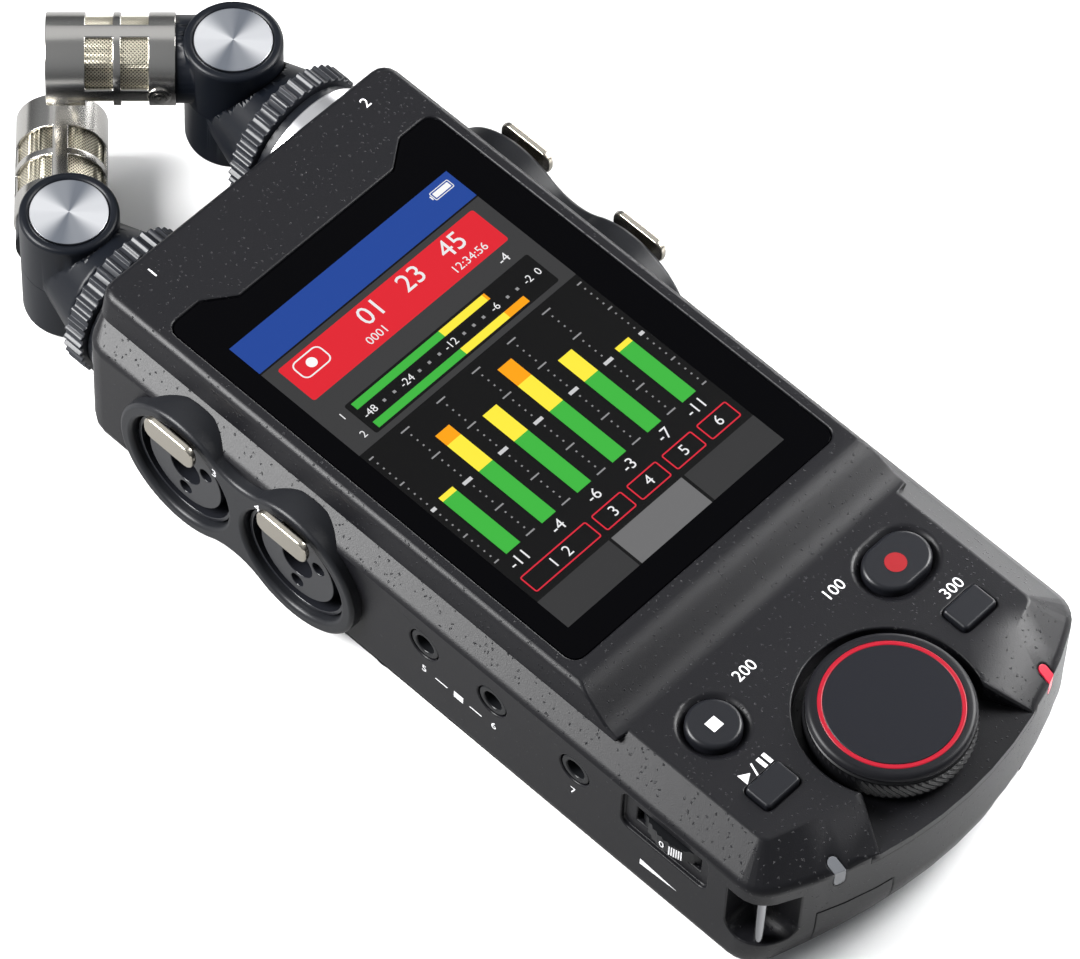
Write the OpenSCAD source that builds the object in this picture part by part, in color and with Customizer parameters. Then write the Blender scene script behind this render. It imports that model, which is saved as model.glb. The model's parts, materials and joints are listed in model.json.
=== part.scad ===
// Handheld digital recorder with a large display, a jog dial, four locking jacks
// and a pair of swivelling microphones. Millimetres, lying on its back: +X to the right,
// +Y towards the microphones, +Z out of the display. The origin is the mouth of the
// tripod thread on the back, under the middle of the display.

/* [Body] */
// Width across the side walls
body_w = 73.4; // [72:0.2:82]
// Thickness from the back to the rim round the display
body_t = 33.4; // [33:0.2:38]
// Distance from the tripod thread to the end wall that carries the microphones
end_reach = 59.5; // [58.5:0.5:70]
// Distance from the tripod thread to the tip of the curved nose
nose_reach = 97; // [96:0.5:108]
// Radius of the nose seen from above
nose_r = 70; // [64:1:80]
// Radius of the two corners beside the nose
nose_corner_r = 6; // [5.5:0.1:7]
// Radius of the two corners at the microphone end
end_corner_r = 5; // [3:0.5:7]
// Rounding of the back edge along the sides
back_round = 4; // [2.5:0.5:5]
// Rounding of the back edge under the nose
nose_round = 12; // [9:0.5:13]
// How fast the curve of the nose flattens as it rounds under
nose_flat = 10; // [4:1:12]
// Wall thickness of both case halves
wall = 2; // [1.6:0.1:2.2]
// Drop from the display rim to the control panel
panel_drop = 4.3; // [3.5:0.1:5]
// Drop of the sloping shoulder from the panel to the seam
shoulder_drop = 4.5; // [4.3:0.1:4.6]
// Width of the shoulder along the sides
shoulder_w = 6.1; // [5.5:0.1:6.8]
// Width of the shoulder round the nose
nose_shoulder_w = 9; // [8:0.5:10]
// How much flatter than the nose the front edge of the panel runs
panel_flat = 2.2; // [1:0.1:2.6]
// Height of the rest under the microphone end
rest_h = 4.2; // [4:0.1:4.6]
// Length of that rest
rest_l = 14; // [13:0.5:15]

/* [Display] */
// Width of the raised display block at its foot
block_w = 68; // [67:0.1:68.5]
// Rounding of the upper edge of the display block
block_round = 1.3; // [0.8:0.1:1.6]
// Distance from the tip of the nose to the foot of the ramp
ramp_back = 42.8; // [41.6:0.2:44]
// Length of the ramp between the display and the panel
ramp_len = 10.2; // [9:0.2:11]
// Width of the cover glass
glass_w = 59.4; // [58:0.2:61]
// Land between the crest of the ramp and the front edge of the glass
glass_land = 2; // [1.4:0.1:2.6]
// Distance from the tripod thread to the rear edge of the glass
glass_rear = 46.4; // [45.5:0.2:48]
// Half width of the plain plate that dips into the rear edge of the glass
plate_half = 17.5; // [14:0.5:20]
// Depth of that dip
plate_dip = 3.7; // [2.5:0.1:4.2]
// Thickness of the glass
glass_t = 1.5; // [1:0.1:1.8]
// How far the glass lies below the rim
glass_sink = 0.3; // [0.1:0.1:0.6]
// Width of the lit area
lcd_w = 48.96; // [48:0.02:50]
// Dark land of the glass in front of the lit area
lcd_front_land = 5.28; // [5:0.02:6]
// Dark land of the glass behind the lit area
lcd_rear_land = 9.68; // [9.4:0.02:10.4]
// Sideways place of the lit area
lcd_x = -1.2; // [-1.6:0.1:1.6]
// Dark border of the display module round the lit area
lcd_border = 2.4; // [1.6:0.1:2.6]
// Thickness of the display module
lcd_t = 3.2; // [2.4:0.1:3.6]

/* [Dial and buttons] */
// Distance from the tip of the nose to the dial axis
dial_back = 16.4; // [15.6:0.2:17]
// Radius of the dial
dial_r = 13.5; // [12:0.1:14]
// How far the dial stands above the panel
dial_proud = 2.3; // [1.5:0.1:3]
// Gap between the dial and the wall of its well
dial_gap = 1.7; // [1:0.1:2]
// Depth of the well below the panel
well_depth = 4.6; // [4.2:0.1:5]
// Radius of the light ring
light_r = 11.1; // [10:0.1:11.5]
// Width of the light ring
light_w = 0.8; // [0.5:0.1:1.1]
// Radius of the dial shaft
shaft_r = 3; // [2.5:0.1:3.2]
// Sideways place of the record and stop buttons
key_x = 20.9; // [20:0.1:21.5]
// Distance from the tip of the nose to the record and stop buttons
key_back = 34; // [33.4:0.1:34.6]
// Sideways place of the mark and play buttons
small_key_x = 22.5; // [22:0.1:23.2]
// Distance from the tip of the nose to the mark and play buttons
small_key_back = 20.3; // [19.6:0.1:21]
// Diameter of the stop button and width of the record button
key_d = 9.1; // [8.6:0.1:9.8]
// Length of the record button
rec_len = 12.2; // [11.4:0.1:13]
// Length of the mark and play buttons
small_key_l = 7.4; // [7:0.1:8.4]
// Width of the mark and play buttons
small_key_w = 5; // [4:0.1:5.4]
// How far the buttons stand above the panel
key_proud = 0.9; // [0.7:0.1:1.4]
// Travel of the buttons
key_travel = 0.6; // [0.3:0.05:0.6]

/* [Jacks and wheel] */
// Height of the locking jacks above the back
jack_z = 13.7; // [13.6:0.1:14]
// Distance from the tripod thread to the front jack of each side
jack_y = 10; // [9.6:0.2:11]
// Spacing of the two jacks of one side
jack_pitch = 25; // [24:0.2:26]
// Radius of a jack body
jack_r = 10.6; // [10:0.1:10.6]
// Length of a jack body
jack_len = 22.5; // [20:0.5:23]
// Radius of the plug bore of a locking jack
plug_bore_r = 3.25; // [3.2:0.01:3.3]
// How far the jack surround stands out of the side wall
surround_proud = 2.2; // [1.8:0.1:3]
// Width of the flat land round a jack opening
surround_land = 2.6; // [1.8:0.1:2.6]
// Length of a latch plate
latch_l = 10.8; // [10:0.2:12]
// Width of a latch plate
latch_w = 4.8; // [4.4:0.1:5.2]
// Thickness of a latch plate
latch_t = 1.2; // [0.8:0.1:1.4]
// Travel of a latch
latch_travel = 1; // [0.6:0.1:1]
// Distance from the tripod thread to the rearmost small jack
mini_first = 17; // [16.6:0.1:18]
// Distance from the rearmost to the middle small jack
mini_pitch = 14.6; // [13:0.1:16]
// Distance from the front small jack to the volume wheel
mini_wheel = 19.1; // [18:0.1:19.6]
// Radius of the bore of a small jack
mini_bore_r = 1.8; // [1.77:0.01:1.83]
// Distance from the tip of the nose to the volume wheel axis
wheel_back = 28.7; // [28.2:0.1:29]
// Radius of the volume wheel
wheel_r = 9; // [8:0.1:9.4]
// Thickness of the volume wheel
wheel_t = 3; // [2.2:0.1:3]

/* [Microphones] */
// Sideways place of the microphone hinges
hinge_x = 18.75; // [18.3:0.05:19]
// Distance from the end wall to the microphone hinges
hinge_out = 20.9; // [20.3:0.1:22.5]
// Height of the left microphone base axis above the back
left_base_z = 9.6; // [9.6:0.1:10.4]
// How much higher the right microphone base sits
base_step = 8.4; // [8.2:0.1:9.2]
// Radius of the hinge barrel
barrel_r = 8.2; // [7.6:0.1:8.6]
// Length of the hinge barrel on the swivel side of the base axis
barrel_long = 13.5; // [13.2:0.1:13.6]
// Length of the hinge barrel on the other side of the base axis
barrel_short = 10.9; // [10:0.1:11.2]
// Height of the swivelling half of the barrel
swivel_h = 12; // [10.5:0.1:12.5]
// Radius of the aluminium discs on the barrel ends
disc_r = 6.46; // [5.8:0.02:6.6]
// Outer radius of the lock ring
ring_r = 13.1; // [12.4:0.1:13.2]
// Number of ribs on the lock ring
ring_ribs = 40; // [24:2:48]
// Radius of the capsule shell
capsule_r = 7.65; // [7.2:0.05:7.8]
// Distance from the hinge axis to the near end of the capsule shell
capsule_near = 9.4; // [9.2:0.1:10.4]
// Length of the capsule shell
capsule_len = 21.2; // [20:0.1:22]
// Sideways offset of the capsule axis from the hinge axis
capsule_off = 2; // [1.4:0.1:2.2]

/* [Power] */
// Diameter of a battery cell
cell_d = 14.2; // [13.6:0.1:14.3]
// Length of a battery cell
cell_l = 50.5; // [49.5:0.1:50.8]
// Distance from the tip of the nose to the cells
cell_back = 17.5; // [17.3:0.1:18.5]
// Spacing of the cells
cell_pitch = 14.6; // [14.4:0.1:14.8]
// Bore radius of the tripod thread
thread_r = 2.6; // [2.5:0.01:2.6]
// Length of the tripod thread
thread_len = 9; // [6:0.5:10]

/* [Hidden] */
$fn = 48;

plastic = "#37383c";
dark = "#1b1c20";
metal = "#c9cbd0";
nickel = "#a7a39a";
board_green = "#1f5a3a";

// Named clearances
fit = 0.15;
run_fit = 0.06;
free = 0.3;

// Levels, from the back up
half_w = body_w / 2;
panel_z = body_t - panel_drop;
seam_z = panel_z - shoulder_drop;
panel_under = panel_z - wall;
glass_top = body_t - glass_sink;
glass_seat = glass_top - glass_t;
well_z = panel_z - well_depth;
well_floor_t = 1.6;
well_under = well_z - well_floor_t;
board_t = 1.2;
board_top = well_under - 0.6;
board_under = board_top - board_t;
mini_h = 5.5;
mini_clear = 3.8;
mini_z = board_under - mini_h / 2;
wheel_top = board_under - free;
upper_board_under = jack_z + jack_r + 0.4;
upper_board_t = 1.4;
cell_z = wall + 0.2 + cell_d / 2;
holder_t = 0.8;
holder_under = cell_z + cell_d / 2 + 0.15;
holder_top = holder_under + holder_t;
dial_top = panel_z + dial_proud;
dial_under = well_z + 0.7;

// Places along the body
nose_y = nose_r - nose_reach;
dial_y = nose_reach - dial_back;
key_y = nose_reach - key_back;
small_key_y = nose_reach - small_key_back;
wheel_y = nose_reach - wheel_back;
ramp_foot = nose_reach - ramp_back;
glass_front = ramp_foot - ramp_len - glass_land;
lcd_front = glass_front - lcd_front_land;
lcd_l = lcd_front + glass_rear - lcd_rear_land;
mini_y = [mini_first, mini_first + mini_pitch, wheel_y - mini_wheel];
hinge_y = end_reach + hinge_out;
cells_front = cell_back - nose_reach;
cells_rear = cells_front + cell_l;
holder_rear = cells_rear + 2.7;
holder_front = cells_front - 1.6;
holder_wall = 1.2;
speaker_y = end_reach - 27.5;
holder_half = 1.5 * cell_pitch + cell_d / 2 + 0.9;
cover_half = holder_half - 0.5;
well_r = dial_r + dial_gap;
well_wall = 1.6;
face_x = half_w + surround_proud;
jack_open_r = jack_r + free;
jack_face_x = face_x - 1.5;
surround_r = jack_open_r + surround_land;
latch_z = jack_z + jack_open_r;
latch_out = latch_travel + 0.1;
stem_l = 5;
stem_h = 1.8;
stem_z = jack_z + jack_open_r - 1.9;
wheel_out = 0.6;
wheel_x = -half_w + wheel_r - wheel_out;
slot_half = sqrt(wheel_r * wheel_r - pow(wheel_r - wheel_out - wall, 2)) + free;
socket_r = 12.4;
socket_t = 3.4;
spigot_r = 6;
ring_y = end_reach + socket_t + 1.9;
ring_l = 3.9;
shank_r = 9.8;
cone_y = ring_y + ring_l + 0.2;
plug_r = 4;
pin_r = 2.5;
disc_t = 1;
split = barrel_long - swivel_h;
capsule_z = barrel_long - capsule_r - 0.2;
shell_t = 0.65;
arm_start = 5;
screw_spots = [[-half_w + 4.7, end_reach - 6.3], [half_w - 4.7, end_reach - 6.3],
    [-half_w + 4.7, jack_y - 17.2], [half_w - 4.7, jack_y - 17.2]];
screw_r = 1;
head_r = 1.9;
boss_r = 2.8;
rest_half = 27;

// The strap recess in the left nose corner
corner_arm = nose_r - nose_corner_r;
corner_x = half_w - nose_corner_r;
corner_y = nose_y - sqrt(corner_arm * corner_arm - corner_x * corner_x);
post_r = 0.8;
post_x = -corner_x - 0.62 * nose_corner_r;
post_y = corner_y - 0.52 * nose_corner_r;
lug_x = post_x + 4.6;
lug_y = post_y + 5.2;
lug_wall = 1.2;
lug_round = 3;
lug_low = 9.2;
lug_high = seam_z - 3.6;

// Doors, ports and windows along the nose
door_left = -27.2;
door_right = -14.3;
door_deep = 15;
door_low = 5.5;
door_high = 14.2;
usb_x = 12.4;
usb_z = 8.6;
usb_w = 9;
usb_h = 3.3;
window_x = 24.2;
window_w = 1.8;
window_low = seam_z - 3.7;
window_back = 2.6;
power_y = -40;
power_z = 18;
power_l = 8;
power_h = 3;
power_travel = 1.5;

function arc_points(cx, cy, r, a0, a1, n) =
    [for (i = [0:n]) [cx + r * cos(a0 + (a1 - a0) * i / n), cy + r * sin(a0 + (a1 - a0) * i / n)]];

// Depth of a rounded edge of radius r at height z above its start
function round_in(z, r) = z >= r ? 0 : r - sqrt(r * r - (r - z) * (r - z));

// Height along the ramp, from 0 at its foot to 1 at its crest
function ease(u) = u * u * (3 - 2 * u);

// Outline of the body from above, set in by separate amounts at the sides, nose and end.
// Where the nose is rounded under by an amount, its curve flattens and the corners stay out.
function body_plan(side, nose, end, under = 0) =
    let (w = half_w - side)
    let (r = nose_r - nose + nose_flat * under)
    let (ny = nose_y + nose_flat * under)
    let (e = end_reach - end)
    let (rc = max(nose_corner_r - min(side, nose), 1.5))
    let (re = max(end_corner_r - max(side, end), 1))
    let (cy = ny - sqrt((r - rc) * (r - rc) - (w - rc) * (w - rc)))
    let (a = atan2(cy - ny, w - rc))
    let (sweep = arc_points(0, ny, r, -180 - a, a, 12))
    concat([for (i = [1:11]) sweep[i]],
        arc_points(w - rc, cy, rc, a, 0, 5),
        arc_points(w - re, e - re, re, 0, 90, 4),
        arc_points(-w + re, e - re, re, 90, 180, 4),
        arc_points(-w + rc, cy, rc, 180, 180 - a, 5));

// A solid through outlines of equal point count, given as [points, height] from the bottom up
module loft(rings) {
    n = len(rings[0][0]);
    m = len(rings);
    polyhedron(
        points = [for (r = rings) for (p = r[0]) [p[0], p[1], r[1]]],
        faces = concat(
            [[for (i = [0:n - 1]) i]],
            [[for (i = [0:n - 1]) m * n - 1 - i]],
            [for (k = [0:m - 2]) for (i = [0:n - 1])
                [k * n + i, (k + 1) * n + i, (k + 1) * n + (i + 1) % n]],
            [for (k = [0:m - 2]) for (i = [0:n - 1])
                [k * n + i, (k + 1) * n + (i + 1) % n, k * n + (i + 1) % n]]));
}

// Heights at which the rounded back is drawn
function back_levels(side_r, nose_rr) =
    concat([for (i = [0:5]) side_r * (1 - cos(18 * i))],
        [for (i = [1:4]) side_r + (nose_rr - side_r) * i / 4]);

// A plane outline open towards -X, with its lower end corner rounded
module notch_outline(end, low, high, r) {
    difference() {
        translate([end - 60, low]) square([60, high - low]);
        difference() {
            translate([end - r, low - 1]) square([r + 1, r + 1]);
            translate([end - r, low + r]) circle(r);
        }
    }
}

module strap_notch(grow) {
    r = lug_round + grow;
    intersection() {
        rotate([90, 0, 0]) linear_extrude(2 * nose_reach)
            notch_outline(lug_x + grow, lug_low - grow, lug_high + grow, r);
        rotate([90, 0, 90]) linear_extrude(2 * body_w, center = true)
            notch_outline(lug_y + grow, lug_low - grow, lug_high + grow, r);
    }
}

module case_outer() {
    levels = concat(back_levels(back_round, nose_round), [seam_z]);
    loft([for (z = levels)
        let (side = round_in(z, back_round), under = round_in(z, nose_round))
            [body_plan(side, under, side, under), z]]);
}

module case_inner() {
    side_r = back_round - wall;
    nose_rr = nose_round - wall;
    levels = concat(back_levels(side_r, nose_rr), [seam_z]);
    loft([for (z = levels)
        let (side = round_in(z, side_r), under = round_in(z, nose_rr))
            [body_plan(wall + side, wall + under, wall + side, under), z + wall]]);
}

module cover_base() {
    loft([[body_plan(0, 0, 0), seam_z], [body_plan(shoulder_w, nose_shoulder_w, 0, panel_flat), panel_z]]);
}

// Outline of the display block at one height, with its front edge at the given place
function block_plan(z, front) =
    let (edge = round_in(body_t - z, block_round))
    let (w = block_w / 2 - (z - seam_z) * 0.2 - edge)
    let (e = end_reach - edge)
    let (r = max(end_corner_r - 2 - edge, 1))
    concat([[-w, front], [w, front]],
        arc_points(w - r, e - r, r, 0, 90, 4),
        arc_points(-w + r, e - r, r, 90, 180, 4));

module display_block() {
    ramp = [for (i = [0:10]) [panel_z + panel_drop * ease(i / 10), -ramp_foot + ramp_len * i / 10]];
    loft(concat([[block_plan(panel_under + 1, -ramp_foot), panel_under + 1]],
        [for (p = ramp) [block_plan(p[0], p[1]), p[0]]]));
}

// Outline of the cover glass, grown by a clearance
module glass_outline(grow) {
    w = glass_w / 2 + grow;
    f = -glass_front - grow;
    e = glass_rear + grow;
    r = 2.2;
    flare = plate_dip * 1.4;
    polygon(concat(
        arc_points(-w + r, f + r, r, 180, 270, 4),
        arc_points(w - r, f + r, r, 270, 360, 4),
        arc_points(w - r, e - r, r, 0, 90, 4),
        [[plate_half + flare - grow, e], [plate_half - grow, e - plate_dip]],
        [[-plate_half + grow, e - plate_dip], [-plate_half - flare + grow, e]],
        arc_points(-w + r, e - r, r, 90, 180, 4)));
}

module rounded_box(l, w, h, r) {
    linear_extrude(h) polygon(concat(
        arc_points(-l / 2 + r, -w / 2 + r, r, 180, 270, 3),
        arc_points(l / 2 - r, -w / 2 + r, r, 270, 360, 3),
        arc_points(l / 2 - r, w / 2 - r, r, 0, 90, 3),
        arc_points(-l / 2 + r, w / 2 - r, r, 90, 180, 3)));
}

module obround(l, w, h) {
    linear_extrude(h) union() {
        square([l - w, w], center = true);
        translate([(l - w) / 2, 0]) circle(w / 2);
        translate([-(l - w) / 2, 0]) circle(w / 2);
    }
}

// A cylinder along X or Y, from the given start
module rod_x(r, l) {
    rotate([0, 90, 0]) cylinder(r = r, h = l);
}

module rod_y(r, l) {
    rotate([-90, 0, 0]) cylinder(r = r, h = l);
}

// Plan of the dial well: the round seat and the mouth that flares out through the nose
module well_plan(grow) {
    mouth = well_r + 2.3 + grow;
    neck_x = well_r - 1.8 + grow;
    neck_y = -dial_y - 6;
    translate([0, -dial_y]) circle(well_r + grow);
    polygon([[-neck_x, neck_y], [-mouth, neck_y - 7.9], [-mouth - 4, -nose_reach - 2],
        [mouth + 4, -nose_reach - 2], [mouth, neck_y - 7.9], [neck_x, neck_y]]);
}

// The tray below the panel that the dial sits in, cut to the nose outline
module well_tray(grow) {
    intersection() {
        translate([0, 0, well_under - grow])
            linear_extrude(panel_z - well_under + grow) well_plan(well_wall + grow);
        union() {
            cover_base();
            linear_extrude(seam_z + 0.01) polygon(body_plan(0, 0, 0));
        }
    }
}

module at_jacks() {
    for (k = [0, 1]) translate([0, jack_y + k * jack_pitch, 0]) children();
}

// A plane slot of the window width, rounded at the origin and open upwards
module window_slot(grow) {
    r = window_w / 2;
    translate([0, r]) circle(r + grow);
    translate([-r - grow, r]) square([2 * (r + grow), 20]);
}

// The room of a window: rounded below in the nose and behind in the shoulder
module window_block(x, grow) {
    edge = nose_y - sqrt(nose_r * nose_r - x * x);
    intersection() {
        translate([x, edge + 10, window_low]) rotate([90, 0, 0]) linear_extrude(20) window_slot(grow);
        translate([x, edge + window_back, 0]) rotate([0, 0, 180]) linear_extrude(2 * body_t) window_slot(grow);
    }
}

module window_pane(x) {
    inset = 1.8;
    intersection() {
        window_block(x, 0);
        difference() {
            union() {
                case_outer();
                cover_base();
            }
            linear_extrude(seam_z - 1) polygon(body_plan(inset, inset, inset));
        }
    }
}

module door_block(grow) {
    translate([door_left - grow, -nose_reach - 1, door_low - grow])
        cube([door_right - door_left + 2 * grow, door_deep, door_high - door_low + 2 * grow]);
}

// The rest that lifts the microphone end, so that the lower microphone clears the table
module rear_rest() {
    front = end_reach - rest_l;
    loft([[[[1.5 - rest_half, front + 1.5], [rest_half - 1.5, front + 1.5],
                [rest_half - 1.5, end_reach], [1.5 - rest_half, end_reach]], -rest_h],
        [[[-rest_half, front], [rest_half, front], [rest_half, end_reach], [-rest_half, end_reach]], back_round]]);
}

module bottom_case() {
    color(plastic) difference() {
        union() {
            difference() {
                union() {
                    case_outer();
                    rear_rest();
                }
                case_inner();
                translate([3.5 - rest_half, end_reach - rest_l + 3.5, wall - rest_h])
                    cube([2 * rest_half - 7, rest_l - 3.5 - wall, rest_h + 1]);
            }
            // Screw bosses with a shoulder that carries the main board
            for (s = screw_spots) translate([s[0], s[1], wall / 2])
                cylinder(r = boss_r, h = seam_z - wall / 2 - 0.1);
            for (k = [2, 3]) translate([screw_spots[k][0], screw_spots[k][1], wall / 2])
                cylinder(r = boss_r + 1.2, h = board_under - wall / 2);
            // Shelves behind the nose for the main board
            for (s = [-1, 1]) translate([s * 19 - 3, -nose_reach + 4.5, board_under - 3.5])
                cube([6, 8.5, 3.5]);
            // Posts under the upper board
            for (y = [12, end_reach - 13]) translate([0, y, wall / 2])
                cylinder(r = 2.2, h = upper_board_under - wall / 2);
            // Wall round the strap recess
            intersection() {
                strap_notch(lug_wall);
                case_outer();
            }
        }
        strap_notch(0);
        // Battery opening, open towards the nose
        translate([-cover_half - fit, -nose_reach - 1, -1])
            cube([2 * (cover_half + fit), nose_reach + 1 + holder_rear + fit, wall + 1]);
        well_tray(0.1);
        door_block(fit);
        window_block(-window_x, 0.02);
        window_block(window_x, 0.02);
        translate([0, 0, -1]) cylinder(r = thread_r + 2.4, h = wall + 2);
        for (s = screw_spots) translate([s[0], s[1], -1]) {
            cylinder(r = screw_r + 0.25, h = seam_z + 2);
            cylinder(r = head_r + 0.3, h = 3.2);
        }
        // Jack openings, which break through to the seam, and microphone spigots
        for (s = [-1, 1]) at_jacks() translate([s * half_w, 0, jack_z]) {
            rotate([0, 90, 0]) cylinder(r = jack_open_r, h = 8, center = true);
            translate([-4, -5, 0]) cube([8, 10, jack_open_r + 2]);
        }
        for (s = [-1, 1]) translate([s * hinge_x, end_reach - 5, left_base_z + (s > 0 ? base_step : 0)])
            rod_y(spigot_r + 0.1, 8);
        for (y = mini_y) translate([-half_w - 1, -y, mini_z]) rod_x(2.9 + fit, 6);
        // Volume wheel slot and the shallow field round it
        translate([-half_w - 1, -wheel_y - slot_half, wheel_top - wheel_t - free])
            cube([8, 2 * slot_half, wheel_t + 2 * free]);
        translate([-half_w - 1, 0.3 - wheel_y, wheel_top - 1.4]) rotate([90, 0, 90])
            rounded_box(17.8, wheel_t + 6, 1.8, 1.6);
        // Power switch slot and the port in the nose
        translate([half_w - 5, power_y - power_l / 2 - power_travel - fit, power_z - power_h / 2 - fit])
            cube([10, power_l + 2 * power_travel + 2 * fit, power_h + 2 * fit]);
        translate([usb_x, -nose_reach - 1, usb_z]) rotate([-90, 0, 0]) obround(usb_w + 0.6, usb_h + 0.6, 14);
        // Speaker openings in the back
        for (k = [-3:3]) translate([0, speaker_y + k * 2.4, -1]) obround(12, 1.2, wall + 2);
    }
}

module top_cover() {
    cavity_w = lcd_w + 2 * lcd_border + 2 * abs(lcd_x) + 2 * free;
    color(plastic) difference() {
        union() {
            difference() {
                union() {
                    cover_base();
                    display_block();
                }
                // Room behind the shoulder, the display and the plate
                loft([[body_plan(wall + 3.3, wall + 3.3, wall), seam_z - 1],
                    [body_plan(shoulder_w + 0.6, nose_shoulder_w, wall), panel_under]]);
                translate([-cavity_w / 2, -glass_front + 1.4, seam_z])
                    cube([cavity_w, glass_front + glass_rear - plate_dip - 2.8, body_t]);
                translate([-cavity_w / 2, glass_rear + 1, seam_z])
                    cube([cavity_w, end_reach - glass_rear - 1 - wall, glass_seat - seam_z]);
            }
            well_tray(0);
        }
        translate([0, 0, glass_seat]) linear_extrude(body_t) glass_outline(fit);
        translate([0, 0, well_z]) linear_extrude(body_t) well_plan(0);
        translate([0, -dial_y, well_under - 1]) cylinder(r = 4.6 + fit, h = 6);
        window_block(-window_x, 0.02);
        window_block(window_x, 0.02);
        // Button holes with their dished rims
        translate([-key_x, -key_y, panel_under - 1]) cylinder(r = key_d / 2 + fit, h = wall + 2);
        translate([-key_x, -key_y, panel_z - 1]) cylinder(r1 = key_d / 2 + fit, r2 = key_d / 2 + 1.4, h = 1.01);
        translate([key_x, -key_y, panel_under - 1]) obround(rec_len + 2 * fit, key_d + 2 * fit, wall + 2);
        hull() for (s = [-1, 1]) translate([key_x + s * (rec_len - key_d) / 2, -key_y, panel_z - 1])
            cylinder(r1 = key_d / 2 + fit, r2 = key_d / 2 + 1.4, h = 1.01, $fn = 32);
        for (s = [-1, 1]) translate([s * small_key_x, -small_key_y, panel_under - 1])
            rounded_box(small_key_l + 2 * fit, small_key_w + 2 * fit, wall + 2, 0.8);
        for (s = screw_spots) translate([s[0], s[1], seam_z - 1]) cylinder(r = screw_r + 0.02, h = 2.7);
    }
}

module display_glass() {
    color("#0c0d10") translate([0, 0, glass_seat]) linear_extrude(glass_t) glass_outline(0);
}

module lcd_module() {
    w = lcd_w + 2 * lcd_border;
    l = lcd_l + 2 * lcd_border;
    color("#22303f") translate([lcd_x - w / 2, -lcd_front - lcd_border, glass_seat - lcd_t])
        cube([w, l, lcd_t]);
}

module main_board() {
    w = half_w - wall - 1.7;
    tip_half = 20;
    tip = 12 - nose_reach;
    corner = tip + 13;
    color(board_green) translate([0, 0, board_under]) difference() {
        linear_extrude(board_t)
            polygon([[-w, -3], [w, -3], [w, corner], [tip_half, tip], [-tip_half, tip], [-w, corner]]);
        for (k = [2, 3]) translate([screw_spots[k][0], screw_spots[k][1], -1])
            cylinder(r = boss_r + fit, h = 4);
        translate([0, -dial_y, -1]) cylinder(r = 4.6 + fit, h = 4);
    }
}

module input_board() {
    w = half_w - 6.8;
    rear = end_reach - 10.5;
    color(board_green) translate([-w, -2, upper_board_under])
        cube([2 * w, rear + 2, upper_board_t]);
}

module tripod_bush() {
    color(metal) difference() {
        union() {
            cylinder(r = thread_r + 2.3, h = thread_len);
            translate([0, 0, wall]) cylinder(r = thread_r + 4.2, h = 1.6);
        }
        translate([0, 0, -1]) cylinder(r = thread_r, h = thread_len);
    }
}

module battery_cover() {
    color(plastic) intersection() {
        case_outer();
        translate([-cover_half, -nose_reach - 1, -1])
            cube([2 * cover_half, nose_reach + 1 + holder_rear, wall + 0.95]);
    }
}

module battery_holder() {
    length = holder_rear - holder_front;
    color(dark) union() {
        translate([-24, holder_front, holder_under]) cube([48, length, holder_t]);
        for (s = [-1, 1]) translate([s * holder_half - 0.6, holder_front + 6, wall])
            cube([1.2, length - 6 + holder_wall, cell_z]);
        translate([-holder_half - 0.6, holder_rear, wall])
            cube([2 * holder_half + 1.2, holder_wall, holder_top - wall]);
        translate([-24, holder_front - holder_wall, wall + 1]) cube([48, holder_wall, holder_top - wall - 1]);
    }
}

module batteries() {
    color("#5b6a78") for (k = [-1.5:1:1.5]) translate([k * cell_pitch, cells_front, cell_z]) union() {
        rod_y(cell_d / 2, cell_l - 1.2);
        rod_y(2.7, cell_l);
    }
}

module battery_contacts() {
    color(metal) for (k = [-1.5:1:1.5]) {
        translate([k * cell_pitch - 4, holder_rear - 0.4, cell_z - 4]) cube([8, 0.4, 8]);
        translate([k * cell_pitch, cells_rear, cell_z]) rod_y(2.4, holder_rear - cells_rear - 0.4);
        translate([k * cell_pitch - 4, holder_front, cell_z - 4]) cube([8, 0.4, 8]);
        translate([k * cell_pitch, holder_front + 0.4, cell_z]) rod_y(3.6, cells_front - holder_front - 0.4);
    }
}

module speaker() {
    color(dark) translate([0, speaker_y, wall]) difference() {
        union() {
            cylinder(r = 10.5, h = 3);
            cylinder(r = 6, h = 5.5);
        }
        translate([0, 0, -1]) cylinder(r = 9, h = 2);
    }
}

// The moulded field round the two jacks of the right side, which laps over the shoulder
module jack_surround() {
    inner = block_w / 2 - 0.35;
    lap = shoulder_drop / shoulder_w;
    waist_r = 10;
    waist_arm = surround_r + waist_r;
    waist_h = sqrt(waist_arm * waist_arm - jack_pitch * jack_pitch / 4);
    waist_t = waist_h * surround_r / waist_arm;
    color(plastic) difference() {
        intersection() {
            translate([inner, jack_y, jack_z]) rotate([90, 0, 90]) linear_extrude(face_x - inner) union() {
                circle(surround_r);
                translate([jack_pitch, 0]) circle(surround_r);
                difference() {
                    translate([0, -waist_t]) square([jack_pitch, 2 * waist_t]);
                    for (s = [-1, 1]) translate([jack_pitch / 2, s * waist_h]) circle(waist_r);
                }
            }
            translate([0, jack_y + 2 * jack_pitch, 0]) rotate([90, 0, 0]) linear_extrude(4 * jack_pitch)
                polygon([[half_w + 0.02, -1], [face_x + 1, -1], [face_x + 1, panel_z], [inner, panel_z],
                    [inner, seam_z + (half_w - inner) * lap + 0.05], [half_w + 0.02, seam_z + 0.05]]);
        }
        at_jacks() translate([half_w - 8, 0, jack_z]) rod_x(jack_open_r, 20);
    }
}

module left_jack_surround() {
    mirror([1, 0, 0]) jack_surround();
}

module right_jack_surround() {
    jack_surround();
}

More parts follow.
